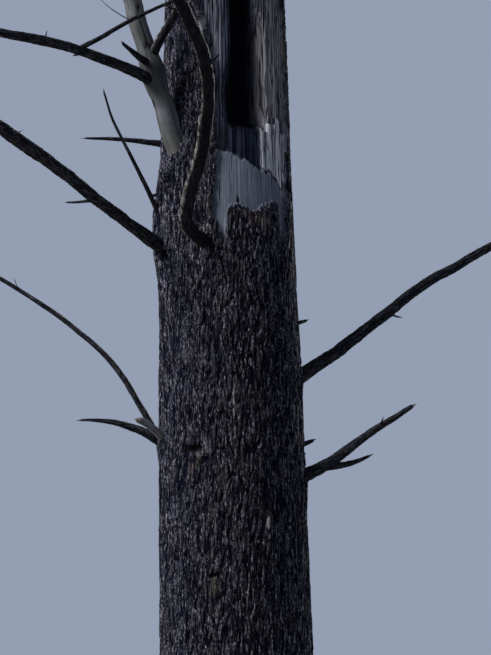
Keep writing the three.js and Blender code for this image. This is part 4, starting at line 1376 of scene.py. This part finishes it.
def makeBoughMaterial():
    f = boughFinish
    material, n, shader, place = newMaterial("bough_bark", 0.85)
    straight = n.mark("straight", "Vector")
    crumb = crumbsOf(n, straight, f)
    streak = n.noise(straight, (110, 110, 15), 4, 0.65)
    finish = n.parts("finish")      # lichen and painted highlight, painted light, torn
    patch = n.ranged(n.noise(straight, 11, 3), 0.45, 0.65)
    # painted shade: where the painted light is low the bark goes to the near-black furrow colour
    color = n.blend(finish["Y"], f["furrow"], n.blend(patch, f["flake"], f["flakeBrown"]))
    # painted shade in the cracks and round the flakes; the streaks darken at random
    for share in (n.ranged(crumb["Plate"], 0.2, 0.9, (0.8, 0.0)),
                  n.ranged(streak, 0.33, 0.55, (0.9, 0.0)),
                  n.ranged(n.mark("ridge"), 0.0, 0.6, (0.7, 0.0))):
        color = n.blend(share, color, f["furrow"])
    # painted highlight along pale streaks, weaker where painted shade lies
    bare = n.times(n.ranged(streak, 0.54, 0.66, (0.0, 0.8)), finish["Y"])
    color = n.blend(bare, color, f["bare"])
    # lichen, partly a painted highlight: pale on the side facing the lamp, up and towards -X
    facing = n.parts("facing")
    lit = n.reckon("SUBTRACT", n.times(facing["Z"], 0.4), facing["X"])
    lit = n.ranged(n.reckon("ADD", lit, n.times(finish["X"], 0.5)), 0.85, 1.25)
    patchy = n.ranged(n.noise(straight, 34, 5, 0.75), 0.44, 0.58)
    lichen = n.times(lit, patchy, n.reckon("MINIMUM", finish["X"], 1.0))
    color = n.blend(lichen, color, f["lichen"])
    color = n.blend(n.ranged(finish["Z"], 0.5, 1.0), color, f["torn"])
    color = weathered(n, f, color, place)
    finishWith(n, shader, f, color, crumb["Height"],
               n.ranged(crumb["Mask"], 0.0, 1.0, (0.72, 0.92)))
    return material


def makeGreyMaterial():
    f = greyFinish
    material, n, shader, place = newMaterial("bare_grey_wood", 0.75)
    straight = n.mark("straight", "Vector")
    grain = n.group(grainGroup, {"Vector": straight})
    wide = n.ranged(n.noise(straight, (16, 16, 3), 4), 0.35, 0.65)
    color = n.blend(wide, f["dark"], f["pale"])
    color = n.blend(n.times(grain["Fibre"], 0.35), color, f["fibre"])
    green = n.ranged(n.noise(straight, 9, 4), 0.42, 0.62)
    color = n.blend(n.times(green, 0.6), color, f["green"])
    # painted shade in the checks and the cut cracks
    checks = n.reckon("MAXIMUM", n.times(grain["Crack"], 0.5),
                      n.ranged(n.mark("ridge"), 0.8, 0.2))
    color = n.blend(checks, color, f["crack"])
    finish = n.parts("finish")
    # painted shade: where the painted light is low the wood goes to the shade colour
    color = n.blend(finish["Y"], f["shade"], color)
    color = n.blend(n.ranged(finish["Z"], 0.5, 1.0), color, f["torn"])
    color = weathered(n, f, color, place)
    finishWith(n, shader, f, color, grain["Height"],
               n.ranged(grain["Fibre"], 0.0, 1.0, (0.85, 0.65)))
    return material


def makeTwigMaterial():
    f = twigFinish
    material, n, shader, place = newMaterial("twig_bark", 0.85)
    color = n.blend(n.mark("thin"), f["thick"], f["thin"])
    color = n.blend(n.ranged(n.mark("tint"), 0.6, 1.0, (0.0, 0.7)), color, f["pale"])
    color = n.blend(n.ranged(n.noise(place, 60, 3), 0.55, 0.7, (0.0, 0.6)), color, f["pale"])
    color = weathered(n, f, color, place)
    finishWith(n, shader, f, color, crumbsOf(n, place, f)["Height"])
    return material


def makeFloor():
    bm = bmesh.new()
    bmesh.ops.create_circle(bm, cap_ends=True, segments=studio["floorSides"],
                            radius=studio["floorRadius"])
    material, n, shader, place = newMaterial("pale_floor", 0.9)
    pale = studio["floorColor"]
    mottled = tuple(studio["floorMottle"] * c for c in pale)
    soft = n.ranged(n.noise(place, 0.8, 3), 0.3, 0.7)
    n.plug(shader.inputs["Base Color"], n.blend(soft, pale, mottled))
    finishMesh("floor", bm, material)


# The whole tree
makeFloor()
trunkMaterial = makeTrunkMaterial()
buildSnags(trunkMaterial)
buildTrunk(trunkMaterial)
print("trunk")

heights = np.arange(0, brokenTop["rim"], twigRule["trunkStep"])
takeLine(trunkPlace(0 * heights, heights, 0), "trunk",
         lambda s: along(trunkRadii, s * brokenTop["rim"]) + twigRule["trunkMargin"])
for limb in limbs.values():
    takeLine(limb["line"], limb["name"], lambda s, limb=limb: limbRadius(limb, s))
buildLimbs({bark: makeBoughMaterial(), grey: makeGreyMaterial()})
buildTwigs(makeTwigMaterial())

shown = [o for o in bpy.data.objects if o.type == "MESH" and not o.hide_render]
print("triangles:", sum(len(p.vertices) - 2 for o in shown for p in o.data.polygons))
